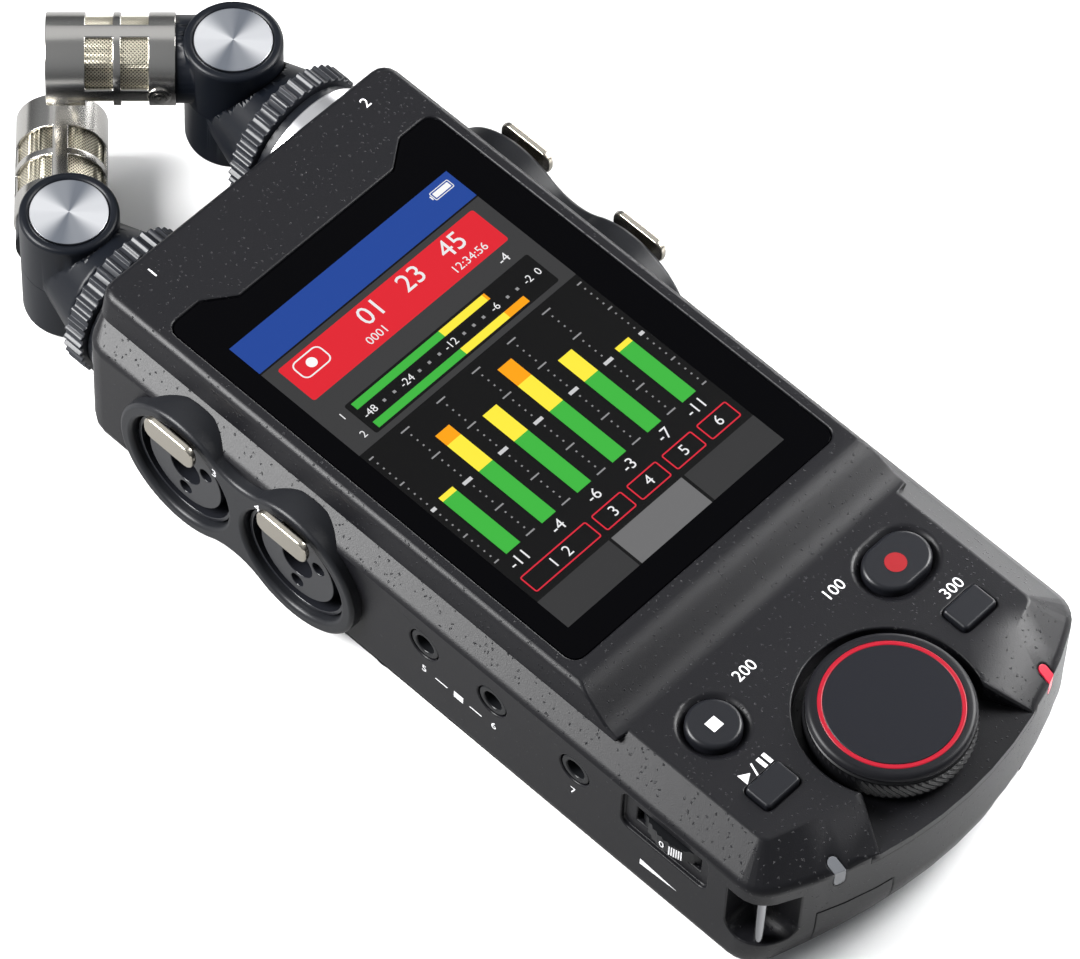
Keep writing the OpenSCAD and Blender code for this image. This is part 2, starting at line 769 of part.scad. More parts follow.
// One locking jack of the right side: a shell, a ring gap for the plug collar and a bored core
module locking_jack(y) {
    core_r = 8;
    shell_in = jack_r - 0.7;
    color(dark) translate([jack_face_x - jack_len, y, jack_z]) difference() {
        union() {
            rod_x(jack_r, jack_len);
            for (p = [-5, 5]) translate([3, p, 0]) cylinder(r = 0.5, h = upper_board_under - jack_z, $fn = 16);
        }
        translate([jack_len - 14, 0, 0]) difference() {
            rod_x(shell_in, 20);
            translate([-1, 0, 0]) rod_x(core_r, 22);
        }
        translate([3, 0, 0]) rod_x(plug_bore_r, jack_len);
        for (a = [-90, 30, 150]) rotate([a, 0, 0]) translate([jack_len - 12, 5.3, 0]) rod_x(1.3, 20);
        translate([jack_len - 6.5, -stem_l / 2 - free, stem_z - jack_z - stem_h / 2 - free])
            cube([20, stem_l + 2 * free, 10]);
    }
}

module left_jack_rear() {
    mirror([1, 0, 0]) locking_jack(jack_y + jack_pitch);
}

module left_jack_front() {
    mirror([1, 0, 0]) locking_jack(jack_y);
}

module right_jack_rear() {
    locking_jack(jack_y + jack_pitch);
}

module right_jack_front() {
    locking_jack(jack_y);
}

// The push plate that frees a plug, on a stem that slides in the jack's slot
module latch(y) {
    plate_x = face_x + latch_out;
    color(nickel) translate([0, y, latch_z]) union() {
        translate([plate_x, 0, 0]) rotate([90, 0, 90]) rounded_box(latch_l, latch_w, latch_t, 1.8);
        translate([jack_face_x - 4.5, -stem_l / 2, stem_z - latch_z - stem_h / 2])
            cube([plate_x - jack_face_x + 4.6, stem_l, stem_h]);
    }
}

module left_latch_rear() {
    mirror([1, 0, 0]) latch(jack_y + jack_pitch);
}

module left_latch_front() {
    mirror([1, 0, 0]) latch(jack_y);
}

module right_latch_rear() {
    latch(jack_y + jack_pitch);
}

module right_latch_front() {
    latch(jack_y);
}

module mini_jacks() {
    body_l = half_w - wall - 1.5 * cell_pitch - mini_clear;
    color(dark) for (y = mini_y) translate([-half_w + 0.2, -y, mini_z]) difference() {
        union() {
            rod_x(2.9, wall + 1);
            translate([wall - 0.2, -3.3, -mini_h / 2]) cube([body_l, 6.6, mini_h]);
        }
        translate([-1, 0, 0]) rod_x(mini_bore_r, body_l + 1);
    }
}

module volume_wheel() {
    teeth = 44;
    color(dark) translate([wheel_x, -wheel_y, wheel_top - wheel_t]) difference() {
        linear_extrude(wheel_t) polygon([for (i = [0:2 * teeth - 1])
            (wheel_r - (i % 2) * 0.25) * [cos(180 * i / teeth), sin(180 * i / teeth)]]);
        translate([0, 0, -1]) cylinder(r = 2 + run_fit, h = wheel_t + 2);
    }
}

module volume_pot() {
    color(metal) translate([wheel_x, -wheel_y, wheel_top - wheel_t]) union() {
        translate([0, 0, -0.1]) cylinder(r = 2, h = board_under - wheel_top + wheel_t + 0.1);
        translate([0, 0, -0.25]) cylinder(r = 2.8, h = 0.15);
    }
}

module dial_knob() {
    h = dial_top - dial_under;
    groove = light_w / 2;
    color(dark) translate([0, -dial_y, dial_under]) difference() {
        rotate_extrude($fn = 96) polygon([[0, 0], [dial_r - 0.5, 0], [dial_r, 0.5], [dial_r, h - 2],
            [dial_r - 0.4, h - 1.7], [dial_r - 0.6, h - 0.5], [dial_r - 1.1, h], [light_r + groove, h],
            [light_r + groove, h - 0.6], [light_r - groove, h - 0.6], [light_r - groove, h], [0, h]]);
        translate([0, 0, -1]) cylinder(r = shaft_r, h = h - 1);
    }
}

module dial_light_ring() {
    color("#d0213a") translate([0, -dial_y, dial_top - 0.6]) difference() {
        cylinder(r = light_r + light_w / 2, h = 0.6, $fn = 96);
        translate([0, 0, -1]) cylinder(r = light_r - light_w / 2, h = 3, $fn = 96);
    }
}

module dial_shaft() {
    low = board_under - 2.4;
    color(metal) translate([0, -dial_y, low]) cylinder(r = shaft_r, h = dial_top - 2 - low);
}

module dial_encoder() {
    side = 12.4;
    h = 2.9;
    color(metal) difference() {
        translate([0, -dial_y, board_under - h]) union() {
            translate([-side / 2, -side / 2, 0]) cube([side, side, h]);
            cylinder(r = 4.6, h = h + well_z - board_under - 0.1);
        }
        translate([0, -dial_y, board_under - 2.5]) cylinder(r = shaft_r + run_fit, h = 20);
    }
}

// Height of the flange under each button cap, held just below the panel
flange_z = panel_under - 0.15;
flange_t = 0.8;
switch_top = flange_z - flange_t - key_travel - 0.1;

module record_button() {
    color(dark) translate([key_x, -key_y, 0]) union() {
        translate([0, 0, flange_z - flange_t]) obround(rec_len + 1.6, key_d + 1.6, flange_t);
        translate([0, 0, flange_z - 0.01]) obround(rec_len, key_d, panel_z + key_proud - flange_z);
    }
}

module stop_button() {
    color(dark) translate([-key_x, -key_y, 0]) union() {
        translate([0, 0, flange_z - flange_t]) cylinder(r = key_d / 2 + 0.8, h = flange_t);
        translate([0, 0, flange_z - 0.01]) cylinder(r = key_d / 2, h = panel_z + key_proud - flange_z);
    }
}

module small_button(x) {
    color(dark) translate([x, -small_key_y, 0]) union() {
        translate([0, 0, flange_z - flange_t]) rounded_box(small_key_l + 1.4, small_key_w + 1.4, flange_t, 0.8);
        translate([0, 0, flange_z - 0.01])
            rounded_box(small_key_l, small_key_w, panel_z + key_proud - flange_z, 0.7);
    }
}

module play_button() {
    small_button(-small_key_x);
}

module mark_button() {
    small_button(small_key_x);
}

module tact_switches() {
    base_h = (switch_top - board_top) * 0.6;
    color(metal) for (s = [-1, 1]) for (p = [[key_x, key_y], [small_key_x, small_key_y]])
        translate([s * p[0], -p[1], board_top]) union() {
            translate([-3, -2.4, 0]) cube([6, 4.8, base_h]);
            cylinder(r = 1.6, h = switch_top - board_top);
        }
}

module peak_window() {
    color("#b9bec6") window_pane(-window_x);
}

module record_window() {
    color("#d0213a") window_pane(window_x);
}

module strap_post() {
    color(metal) translate([post_x, post_y, lug_low]) cylinder(r = post_r, h = lug_high - lug_low);
}

module card_door() {
    color(plastic) intersection() {
        door_block(0);
        difference() {
            case_outer();
            case_inner();
        }
    }
}

module card_socket() {
    low = door_low + 2;
    rear = holder_front - holder_wall;
    color(metal) translate([door_left + 2, rear - 4.6, low]) difference() {
        cube([door_right - door_left - 4, 4.6, 4]);
        translate([1, -1, 1]) cube([door_right - door_left - 6, 4.6, 1.4]);
    }
}

module usb_port() {
    rear = holder_front - holder_wall;
    front = nose_y - sqrt(nose_r * nose_r - usb_x * usb_x) + 1.6;
    color(metal) translate([usb_x, front, usb_z]) rotate([-90, 0, 0]) difference() {
        obround(usb_w, usb_h, rear - front);
        translate([0, 0, -1]) obround(usb_w - 0.8, usb_h - 0.8, 7);
    }
}

module power_switch() {
    color(dark) union() {
        translate([half_w - wall - 0.2, power_y - power_l / 2, power_z - power_h / 2])
            cube([wall + 1, power_l, power_h]);
        translate([half_w - wall - 1.2, power_y - power_l / 2 - 2.5, power_z - power_h / 2 - 1])
            cube([1.05, power_l + 5, power_h + 2]);
    }
}

module case_screws() {
    color(metal) for (s = screw_spots) translate([s[0], s[1], 0.6]) difference() {
        union() {
            cylinder(r = head_r, h = 1.6);
            cylinder(r = screw_r, h = seam_z + 0.6);
        }
        translate([0, 0, -1]) cylinder(r = 0.7, h = 1.7, $fn = 6);
    }
}

// Puts a microphone part at the right or, turned over about its base axis, at the left
module mic_place(right) {
    if (right) translate([hinge_x, 0, left_base_z + base_step]) children();
    else translate([-hinge_x, 0, left_base_z]) rotate([0, 180, 0]) children();
}

module mic_sockets() {
    color(metal) for (right = [false, true]) mic_place(right) difference() {
        union() {
            translate([0, end_reach, 0]) rod_y(socket_r, socket_t);
            translate([0, end_reach - 4.4, 0]) rod_y(spigot_r, 5);
        }
        translate([0, end_reach - 6, 0]) rod_y(plug_r + 0.1, 20);
    }
}

module lock_ring() {
    depth = 0.6;
    color(dark) translate([0, ring_y, 0]) difference() {
        rotate([-90, 0, 0]) linear_extrude(ring_l) polygon([for (i = [0:ring_ribs - 1]) for (k = [0:3])
            (ring_r - ((k == 0 || k == 3) ? depth : 0))
            * [cos(360 * (i + 0.2 + k * 0.2) / ring_ribs), sin(360 * (i + 0.2 + k * 0.2) / ring_ribs)]]);
        translate([0, -1, 0]) rod_y(shank_r + run_fit, ring_l + 2);
    }
}

// The fixed arm: plug, shank inside the lock ring, cone and the fixed half of the barrel
module base_arm() {
    cone_l = hinge_y - cone_y;
    color("#20242e") difference() {
        union() {
            translate([0, end_reach - 3.4, 0]) rod_y(plug_r, 10);
            translate([0, end_reach + socket_t + 0.1, 0]) rod_y(shank_r, cone_y - end_reach - socket_t);
            translate([0, end_reach + socket_t + 0.1, 0]) rod_y(shank_r + 1.8, 1.5);
            translate([0, cone_y, 0]) rotate([-90, 0, 0])
                cylinder(r1 = shank_r + 1.2, r2 = barrel_r - 0.8, h = cone_l);
            translate([0, hinge_y, -barrel_short]) cylinder(r = barrel_r, h = barrel_short + split - 0.1);
        }
        translate([0, hinge_y, split - 0.1]) cylinder(r = barrel_r + 0.4, h = 30);
        translate([0, hinge_y, -barrel_short - 1]) cylinder(r = pin_r, h = 40);
        translate([0, hinge_y, -barrel_short - 1]) cylinder(r = disc_r, h = 1 + disc_t);
    }
}

// Along the capsule axis, which leaves the barrel at 45 degrees and a little beside its centre
module along_capsule(s) {
    translate([0, hinge_y, 0]) rotate([0, 0, 45]) translate([capsule_off, s, capsule_z]) children();
}

module swivel_arm() {
    color("#20242e") difference() {
        union() {
            translate([0, hinge_y, split]) cylinder(r = barrel_r, h = swivel_h);
            along_capsule(arm_start) rod_y(capsule_r - 0.4, capsule_near - arm_start);
            along_capsule(arm_start) rod_y(capsule_r - shell_t - 0.05, capsule_near + 3 - arm_start);
        }
        translate([0, hinge_y, split - 20]) cylinder(r = barrel_r + 0.4, h = 20);
        translate([0, hinge_y, split - 1]) cylinder(r = pin_r + run_fit, h = swivel_h - disc_t);
        translate([0, hinge_y, barrel_long - disc_t]) cylinder(r = disc_r, h = 5);
    }
}

module hinge_disc(z) {
    color(metal) translate([0, hinge_y, z]) cylinder(r = disc_r, h = disc_t);
}

module hinge_pins() {
    top = barrel_long - disc_t - 1.4;
    color(metal) for (right = [false, true]) mic_place(right)
        translate([0, hinge_y, disc_t - barrel_short]) cylinder(r = pin_r, h = top + barrel_short - disc_t);
}

module base_discs() {
    for (right = [false, true]) mic_place(right) hinge_disc(-barrel_short);
}

// The slotted metal shell: two rows of four windows between lengthwise ribs
module capsule_shell() {
    rib = 2.6;
    row_l = 4.5;
    rows = [capsule_near + 4.4, capsule_near + 10.2];
    color(nickel) difference() {
        along_capsule(capsule_near) rod_y(capsule_r, capsule_len);
        along_capsule(capsule_near - 1) rod_y(capsule_r - shell_t, capsule_len);
        along_capsule(capsule_near + capsule_len - 2) rod_y(capsule_r - 1.4, 4);
        for (y = rows) along_capsule(y) for (x = [0, 1]) for (z = [0, 1])
            mirror([x, 0, 0]) mirror([0, 0, z]) translate([rib / 2, 0, rib / 2])
                cube([capsule_r, row_l, capsule_r]);
    }
}

module capsule_mesh() {
    mesh_r = capsule_r - shell_t - 0.05;
    near = capsule_near + 3.05;
    color("#b8ad97") difference() {
        along_capsule(near) rod_y(mesh_r, capsule_len - 4.1);
        along_capsule(near - 1) rod_y(mesh_r - 0.3, capsule_len - 3.5);
    }
}

module mic_element() {
    color(dark) along_capsule(capsule_near + 3.05) rod_y(capsule_r - 2.2, capsule_len - 7);
}

module left_lock_ring() {
    mic_place(false) lock_ring();
}

module left_base_arm() {
    mic_place(false) base_arm();
}

module left_swivel_arm() {
    mic_place(false) swivel_arm();
}

module left_swivel_disc() {
    mic_place(false) hinge_disc(barrel_long - disc_t);
}

module left_capsule_shell() {
    mic_place(false) capsule_shell();
}

module left_capsule_mesh() {
    mic_place(false) capsule_mesh();
}

module left_mic_element() {
    mic_place(false) mic_element();
}

module right_lock_ring() {
    mic_place(true) lock_ring();
}

module right_base_arm() {
    mic_place(true) base_arm();
}

module right_swivel_arm() {
    mic_place(true) swivel_arm();
}

module right_swivel_disc() {
    mic_place(true) hinge_disc(barrel_long - disc_t);
}

module right_capsule_shell() {
    mic_place(true) capsule_shell();
}

module right_capsule_mesh() {
    mic_place(true) capsule_mesh();
}

module right_mic_element() {
    mic_place(true) mic_element();
}

bottom_case();
top_cover();
display_glass();
lcd_module();
main_board();
input_board();
tripod_bush();
battery_cover();
battery_holder();
batteries();
battery_contacts();
speaker();
left_jack_surround();
right_jack_surround();
left_jack_rear();
left_jack_front();
right_jack_rear();
right_jack_front();
left_latch_rear();
left_latch_front();
right_latch_rear();
right_latch_front();
mini_jacks();
volume_wheel();
volume_pot();
dial_knob();
dial_light_ring();
dial_shaft();
dial_encoder();
record_button();
stop_button();
play_button();
mark_button();
tact_switches();
peak_window();
record_window();
strap_post();
card_door();
card_socket();
usb_port();
power_switch();
case_screws();
mic_sockets();
hinge_pins();
base_discs();
left_lock_ring();
left_base_arm();
left_swivel_arm();
left_swivel_disc();
left_capsule_shell();
left_capsule_mesh();
left_mic_element();
right_lock_ring();
right_base_arm();
right_swivel_arm();
right_swivel_disc();
right_capsule_shell();
right_capsule_mesh();
right_mic_element();
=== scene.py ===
import json
import math

import bpy
from mathutils import Matrix, Vector

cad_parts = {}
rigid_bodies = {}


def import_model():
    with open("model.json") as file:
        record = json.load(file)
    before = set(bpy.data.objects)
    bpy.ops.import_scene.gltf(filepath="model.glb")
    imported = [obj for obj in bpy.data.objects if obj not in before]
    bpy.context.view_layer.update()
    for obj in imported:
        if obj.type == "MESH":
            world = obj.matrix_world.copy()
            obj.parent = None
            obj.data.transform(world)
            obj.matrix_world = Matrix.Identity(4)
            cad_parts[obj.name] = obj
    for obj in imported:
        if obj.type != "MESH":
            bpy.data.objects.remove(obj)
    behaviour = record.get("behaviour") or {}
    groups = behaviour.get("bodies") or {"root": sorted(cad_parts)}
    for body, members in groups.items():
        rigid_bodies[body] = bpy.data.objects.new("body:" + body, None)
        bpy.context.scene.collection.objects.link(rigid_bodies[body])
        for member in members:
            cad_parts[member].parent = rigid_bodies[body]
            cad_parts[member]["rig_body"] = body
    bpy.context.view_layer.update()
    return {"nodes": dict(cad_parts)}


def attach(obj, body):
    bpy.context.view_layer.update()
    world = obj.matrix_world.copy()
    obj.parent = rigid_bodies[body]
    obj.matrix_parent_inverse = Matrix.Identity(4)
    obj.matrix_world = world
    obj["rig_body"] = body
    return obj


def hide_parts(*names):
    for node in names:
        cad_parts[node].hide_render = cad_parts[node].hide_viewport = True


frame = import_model()

# The view: the recorder lies on its back, seen from above its left front corner through a
# long lens. The camera is set about the middle of the lit area of the display.
mm = 0.001
lit_centre = Vector((-1.2, 0.0, 33.4)) * mm
view_turn, view_rise, view_roll = math.radians(-49.052), math.radians(56.306), math.radians(3.258)
view_distance = 1055.7 * mm
view_aside, view_lift = -5.347 * mm, 13.498 * mm
lens_in_pixels, image_width = 6745.5, 1080
back = Vector((math.sin(view_turn) * math.cos(view_rise),
               -math.cos(view_turn) * math.cos(view_rise), math.sin(view_rise)))
level = Vector((math.cos(view_turn), math.sin(view_turn), 0.0))
upright = back.cross(level)
right = level * math.cos(view_roll) + upright * math.sin(view_roll)
up = upright * math.cos(view_roll) - level * math.sin(view_roll)
bpy.ops.object.select_all(action="DESELECT")
bpy.ops.object.camera_add()
camera = bpy.context.object
camera.name = "camera"
camera.matrix_world = Matrix((right, up, back)).transposed().to_4x4()
camera.location = lit_centre - right * view_aside - up * view_lift + back * view_distance
camera.data.sensor_width = 36.0
camera.data.lens = lens_in_pixels / image_width * camera.data.sensor_width
camera.data.clip_start, camera.data.clip_end = 0.01, 20.0
bpy.context.scene.camera = camera
bpy.context.scene.view_settings.view_transform = "Standard"

# The floor: a wide sheet of white paper with a soft shadow on it. The recorder leans on the nose
# and on the rest under its far end, so the sheet runs down a little towards the microphones.
# For reflections and bounced light the sheet's colour is painted: white in front of the nose and dim
# beside the left wall, as painted reflection and painted shade on the case. The camera sees it evenly
# white.
nose_foot, floor_drop = -85, 0.35
rest_height, nose_to_rest = 4.2, 144.5
bpy.ops.mesh.primitive_plane_add(size=6.0, location=(0, nose_foot * mm, -floor_drop * mm),
                                 rotation=(-math.atan2(rest_height, nose_to_rest), 0, 0))
floor = bpy.context.object
floor.name = "paper_floor"
paper = bpy.data.materials.new("white_paper")
paper.use_nodes = True
paper_nodes, paper_links = paper.node_tree.nodes, paper.node_tree.links
sheet = paper_nodes["Principled BSDF"]
sheet.inputs["Roughness"].default_value = 0.95
sheet.inputs["Specular IOR Level"].default_value = 0.0
# painted reflection and painted shade: rays other than the camera's see the sheet dim towards the back
# left and white towards the front right
sheet_spot = paper_nodes.new("ShaderNodeTexCoord")
toward_front = paper_nodes.new("ShaderNodeVectorMath")
toward_front.operation = "DOT_PRODUCT"
toward_front.inputs[1].default_value = (0.6, -0.8, 0)
paper_links.new(sheet_spot.outputs["Object"], toward_front.inputs[0])
painted_reflection_tone = paper_nodes.new("ShaderNodeMapRange")
painted_reflection_tone.inputs["From Min"].default_value, painted_reflection_tone.inputs["From Max"].default_value = -0.03, 0.03
painted_reflection_tone.inputs["To Min"].default_value, painted_reflection_tone.inputs["To Max"].default_value = 0.34, 0.93
paper_links.new(toward_front.outputs["Value"], painted_reflection_tone.inputs["Value"])
ray = paper_nodes.new("ShaderNodeLightPath")
shown = paper_nodes.new("ShaderNodeMix")
shown.data_type = "RGBA"
shown.inputs["B"].default_value = (0.93, 0.93, 0.93, 1)
paper_links.new(ray.outputs["Is Camera Ray"], shown.inputs["Factor"])
paper_links.new(painted_reflection_tone.outputs["Result"], shown.inputs["A"])
paper_links.new(shown.outputs["Result"], sheet.inputs["Base Color"])
floor.data.materials.append(paper)

# The light: a pale room, brighter overhead, and five cloth-fronted lamps. One behind to the left
# runs along the left shoulder, and a small near one lights the right of the panel. A low one and
# a higher one stand to the right, and a wide weak one hangs overhead.
room = bpy.data.worlds.new("studio_room")
bpy.context.scene.world = room
room.use_nodes = True
room_nodes, room_links = room.node_tree.nodes, room.node_tree.links
room_nodes["Background"].inputs["Color"].default_value = (0.93, 0.96, 1.0, 1)
look = room_nodes.new("ShaderNodeTexCoord")
look_parts = room_nodes.new("ShaderNodeSeparateXYZ")
room_links.new(look.outputs["Generated"], look_parts.inputs[0])
upward = room_nodes.new("ShaderNodeMapRange")
upward.inputs["From Min"].default_value, upward.inputs["From Max"].default_value = 0.0, 0.6
upward.inputs["To Min"].default_value, upward.inputs["To Max"].default_value = 0.08, 0.29
room_links.new(look_parts.outputs["Z"], upward.inputs["Value"])
room_links.new(upward.outputs["Result"], room_nodes["Background"].inputs["Strength"])


def cloth_lamp(name, toward, distance, width, height, power):
    bpy.ops.object.light_add(type="AREA", location=Vector(toward).normalized() * distance)
    lamp = bpy.context.object
    lamp.name = name
    lamp.rotation_mode = "QUATERNION"
    lamp.rotation_quaternion = Vector(toward).to_track_quat("Z", "Y")
    lamp.data.shape = "RECTANGLE"
    lamp.data.size, lamp.data.size_y = width, height
    lamp.data.energy = power
    lamp.visible_camera = False


cloth_lamp("left_rear_lamp", (-0.49, 0.42, 0.47), 0.6, 0.32, 0.32, 9.6)
cloth_lamp("right_near_lamp", (0.17, -0.10, 0.13), 0.24, 0.1, 0.1, 0.6)
cloth_lamp("right_low_lamp", (0.92, 0.30, 0.16), 0.9, 0.5, 0.25, 4)
cloth_lamp("right_front_lamp", (0.64, -0.28, 0.72), 1.3, 0.5, 0.5, 10)
cloth_lamp("overhead_lamp", (0.30, 0.46, 0.84), 1.3, 0.8, 0.8, 1.2)


# The two case halves are moulded in charcoal plastic with a fine spark grain and small raised
# flecks. The lower half holds the nose and the walls, the upper one the panel and display block.
def select_only(piece):
    bpy.ops.object.select_all(action="DESELECT")
    piece.select_set(True)
    bpy.context.view_layer.objects.active = piece


def add_and_apply(piece, kind, **settings):
    select_only(piece)
    modifier = piece.modifiers.new(kind.lower(), kind)
    for key, value in settings.items():
        setattr(modifier, key, value)
    bpy.ops.object.modifier_apply(modifier=modifier.name)


def ease_edges(piece, width, rounds, angle, mating=None):
    """Breaks the sharp edges of a piece with a small radius, except where it meets its mate."""
    select_only(piece)
    bpy.ops.object.mode_set(mode="EDIT")
    bpy.ops.mesh.select_mode(type="EDGE")
    bpy.ops.mesh.select_all(action="DESELECT")
    bpy.ops.mesh.edges_select_sharp(sharpness=math.radians(angle))
    bpy.ops.object.mode_set(mode="OBJECT")
    if mating:
        for edge in piece.data.edges:
            if edge.select and all(mating(piece.data.vertices[i].co / mm) for i in edge.vertices):
                edge.select = False
        for face in piece.data.polygons:
            face.select = False
    bpy.ops.object.mode_set(mode="EDIT")
    bpy.ops.transform.edge_bevelweight(value=1.0)
    bpy.ops.object.mode_set(mode="OBJECT")
    bpy.ops.object.shade_smooth()
    add_and_apply(piece, "BEVEL", width=width * mm, segments=rounds, limit_method="WEIGHT",
                  use_clamp_overlap=False)
    bpy.ops.object.shade_smooth_by_angle(angle=math.radians(angle))
    add_and_apply(piece, "WEIGHTED_NORMAL", keep_sharp=True, weight=50)


def finished_from(node, name, width, rounds=3, angle=32, mating=None, cut=None, join_flats=0.03):
    """A copy of a CAD node, merged to one skin, with its edges eased, in the node's place."""
    source = frame["nodes"][node]
    body = source["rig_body"]
    piece = bpy.data.objects.new(name, source.data.copy())
    bpy.context.scene.collection.objects.link(piece)
    piece.data.materials.clear()
    select_only(piece)
    bpy.ops.object.mode_set(mode="EDIT")
    bpy.ops.mesh.select_all(action="SELECT")
    bpy.ops.mesh.remove_doubles(threshold=0.004 * mm)
    if join_flats:
        bpy.ops.mesh.dissolve_limited(angle_limit=math.radians(join_flats))
    if cut:
        bpy.ops.mesh.select_all(action="SELECT")
        bpy.ops.mesh.bisect(plane_co=(0, 0, cut * mm), plane_no=(0, 0, 1))
    bpy.ops.object.mode_set(mode="OBJECT")
    if width:
        ease_edges(piece, width, rounds, angle, mating)
    else:
        bpy.ops.object.shade_smooth_by_angle(angle=math.radians(angle))
    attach(piece, body)
    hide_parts(node)
    return piece


def srgb(red, green, blue):
    """A colour as seen on a screen, from 0 to 255, as the linear colour of a material."""
    linear = [c / 255 / 12.92 if c <= 10 else ((c / 255 + 0.055) / 1.055) ** 2.4
              for c in (red, green, blue)]
    return (*linear, 1.0)


def plain_finish(name, colour, roughness, metallic=0.0, specular=0.3):
    material = bpy.data.materials.new(name)
    material.use_nodes = True
    surface = material.node_tree.nodes["Principled BSDF"]
    surface.inputs["Base Color"].default_value = colour
    surface.inputs["Roughness"].default_value = roughness
    surface.inputs["Metallic"].default_value = metallic
    surface.inputs["Specular IOR Level"].default_value = specular
    return material


def wear(piece, material):
    piece.data.materials.clear()
    piece.data.materials.append(material)


# spark grain: a fine even grain with scattered, ragged flecks, for moulded plastic
grain = bpy.data.node_groups.new("spark_grain", "ShaderNodeTree")
for socket, low in (("Fleck Scale", 900.0), ("Grain Scale", 5200.0)):
    grain_size = grain.interface.new_socket(socket, in_out="INPUT", socket_type="NodeSocketFloat")
    grain_size.default_value = low
for socket in ("Height", "Fleck", "Grain"):
    grain.interface.new_socket(socket, in_out="OUTPUT", socket_type="NodeSocketFloat")
gn, gl = grain.nodes, grain.links
grain_in, grain_out = gn.new("NodeGroupInput"), gn.new("NodeGroupOutput")
spot = gn.new("ShaderNodeTexCoord")
ragged = gn.new("ShaderNodeTexNoise")
ragged.inputs["Scale"].default_value = 2600.0
gl.new(spot.outputs["Object"], ragged.inputs["Vector"])
shifted = gn.new("ShaderNodeVectorMath")
shifted.operation = "MULTIPLY_ADD"
shifted.inputs[1].default_value = (0.7 * mm, 0.7 * mm, 0.7 * mm)
gl.new(ragged.outputs["Color"], shifted.inputs[0])
gl.new(spot.outputs["Object"], shifted.inputs[2])
cells = gn.new("ShaderNodeTexVoronoi")
gl.new(shifted.outputs[0], cells.inputs["Vector"])
gl.new(grain_in.outputs["Fleck Scale"], cells.inputs["Scale"])
fine = gn.new("ShaderNodeTexNoise")
fine.inputs["Detail"].default_value = 1.0
gl.new(spot.outputs["Object"], fine.inputs["Vector"])
gl.new(grain_in.outputs["Grain Scale"], fine.inputs["Scale"])
dome = gn.new("ShaderNodeMapRange")
dome.interpolation_type = "SMOOTHSTEP"
dome.inputs["From Min"].default_value, dome.inputs["From Max"].default_value = 0.24, 0.10
gl.new(cells.outputs["Distance"], dome.inputs["Value"])
split_colour = gn.new("ShaderNodeSeparateColor")
gl.new(cells.outputs["Color"], split_colour.inputs["Color"])
chosen = gn.new("ShaderNodeMath")
chosen.operation = "GREATER_THAN"
chosen.inputs[1].default_value = 0.4
gl.new(split_colour.outputs["Red"], chosen.inputs[0])
fleck = gn.new("ShaderNodeMath")
fleck.operation = "MULTIPLY"
gl.new(dome.outputs["Result"], fleck.inputs[0])
gl.new(chosen.outputs[0], fleck.inputs[1])
height = gn.new("ShaderNodeMath")
height.operation = "MULTIPLY_ADD"
height.inputs[1].default_value = 0.12
gl.new(fine.outputs["Fac"], height.inputs[0])
gl.new(fleck.outputs[0], height.inputs[2])
gl.new(height.outputs[0], grain_out.inputs["Height"])
gl.new(fleck.outputs[0], grain_out.inputs["Fleck"])
gl.new(fine.outputs["Fac"], grain_out.inputs["Grain"])


def grained_plastic(name, colour, fleck_colour, roughness, depth):
    """Moulded plastic with the spark grain, its flecks a little off the base colour."""
    material = plain_finish(name, colour, roughness, specular=0.24)
    nodes, links = material.node_tree.nodes, material.node_tree.links
    surface = nodes["Principled BSDF"]
    pattern = nodes.new("ShaderNodeGroup")
    pattern.node_tree = grain
    pattern.inputs["Fleck Scale"].default_value = 1150.0
    pattern.inputs["Grain Scale"].default_value = 5200.0
    tint = nodes.new("ShaderNodeMix")
    tint.data_type = "RGBA"
    tint.inputs["A"].default_value, tint.inputs["B"].default_value = colour, fleck_colour
    links.new(pattern.outputs["Fleck"], tint.inputs["Factor"])
    links.new(tint.outputs["Result"], surface.inputs["Base Color"])
    dull = nodes.new("ShaderNodeMapRange")
    dull.inputs["To Min"].default_value = roughness - 0.06
    dull.inputs["To Max"].default_value = roughness + 0.06
    links.new(pattern.outputs["Grain"], dull.inputs["Value"])
    links.new(dull.outputs["Result"], surface.inputs["Roughness"])
    bump = nodes.new("ShaderNodeBump")
    bump.inputs["Distance"].default_value = depth * mm
    bump.inputs["Strength"].default_value = 0.8
    links.new(pattern.outputs["Height"], bump.inputs["Height"])
    links.new(bump.outputs["Normal"], surface.inputs["Normal"])
    return material


charcoal = grained_plastic("charcoal_case_plastic", srgb(16, 16, 19), srgb(30, 30, 34), 0.38, 0.16)
seam = 24.6
well_half_width, well_rear, well_rim = 26, -62, 22.2
crease_level, crease_half_width, crease_reach = 28.1, 32, 90.5


def meets_upper_half(spot):
    in_well = abs(spot.x) < well_half_width and spot.y < well_rear and spot.z > well_rim
    return spot.z > seam - 0.02 or in_well


def meets_lower_half(spot):
    in_foot_crease = (abs(spot.z - crease_level) < 0.05 and abs(spot.x) < crease_half_width
                      and abs(spot.x) + spot.y < crease_reach)
    return spot.z < seam + 0.02 or in_foot_crease


lower_half = finished_from("bottom_case", "lower_case_half", 0.3, mating=meets_upper_half,
                           cut=seam - 1.0)
upper_half = finished_from("top_cover", "upper_case_half", 0.4, mating=meets_lower_half,
                           cut=seam + 0.7)
for half in (lower_half, upper_half):
    wear(half, charcoal)

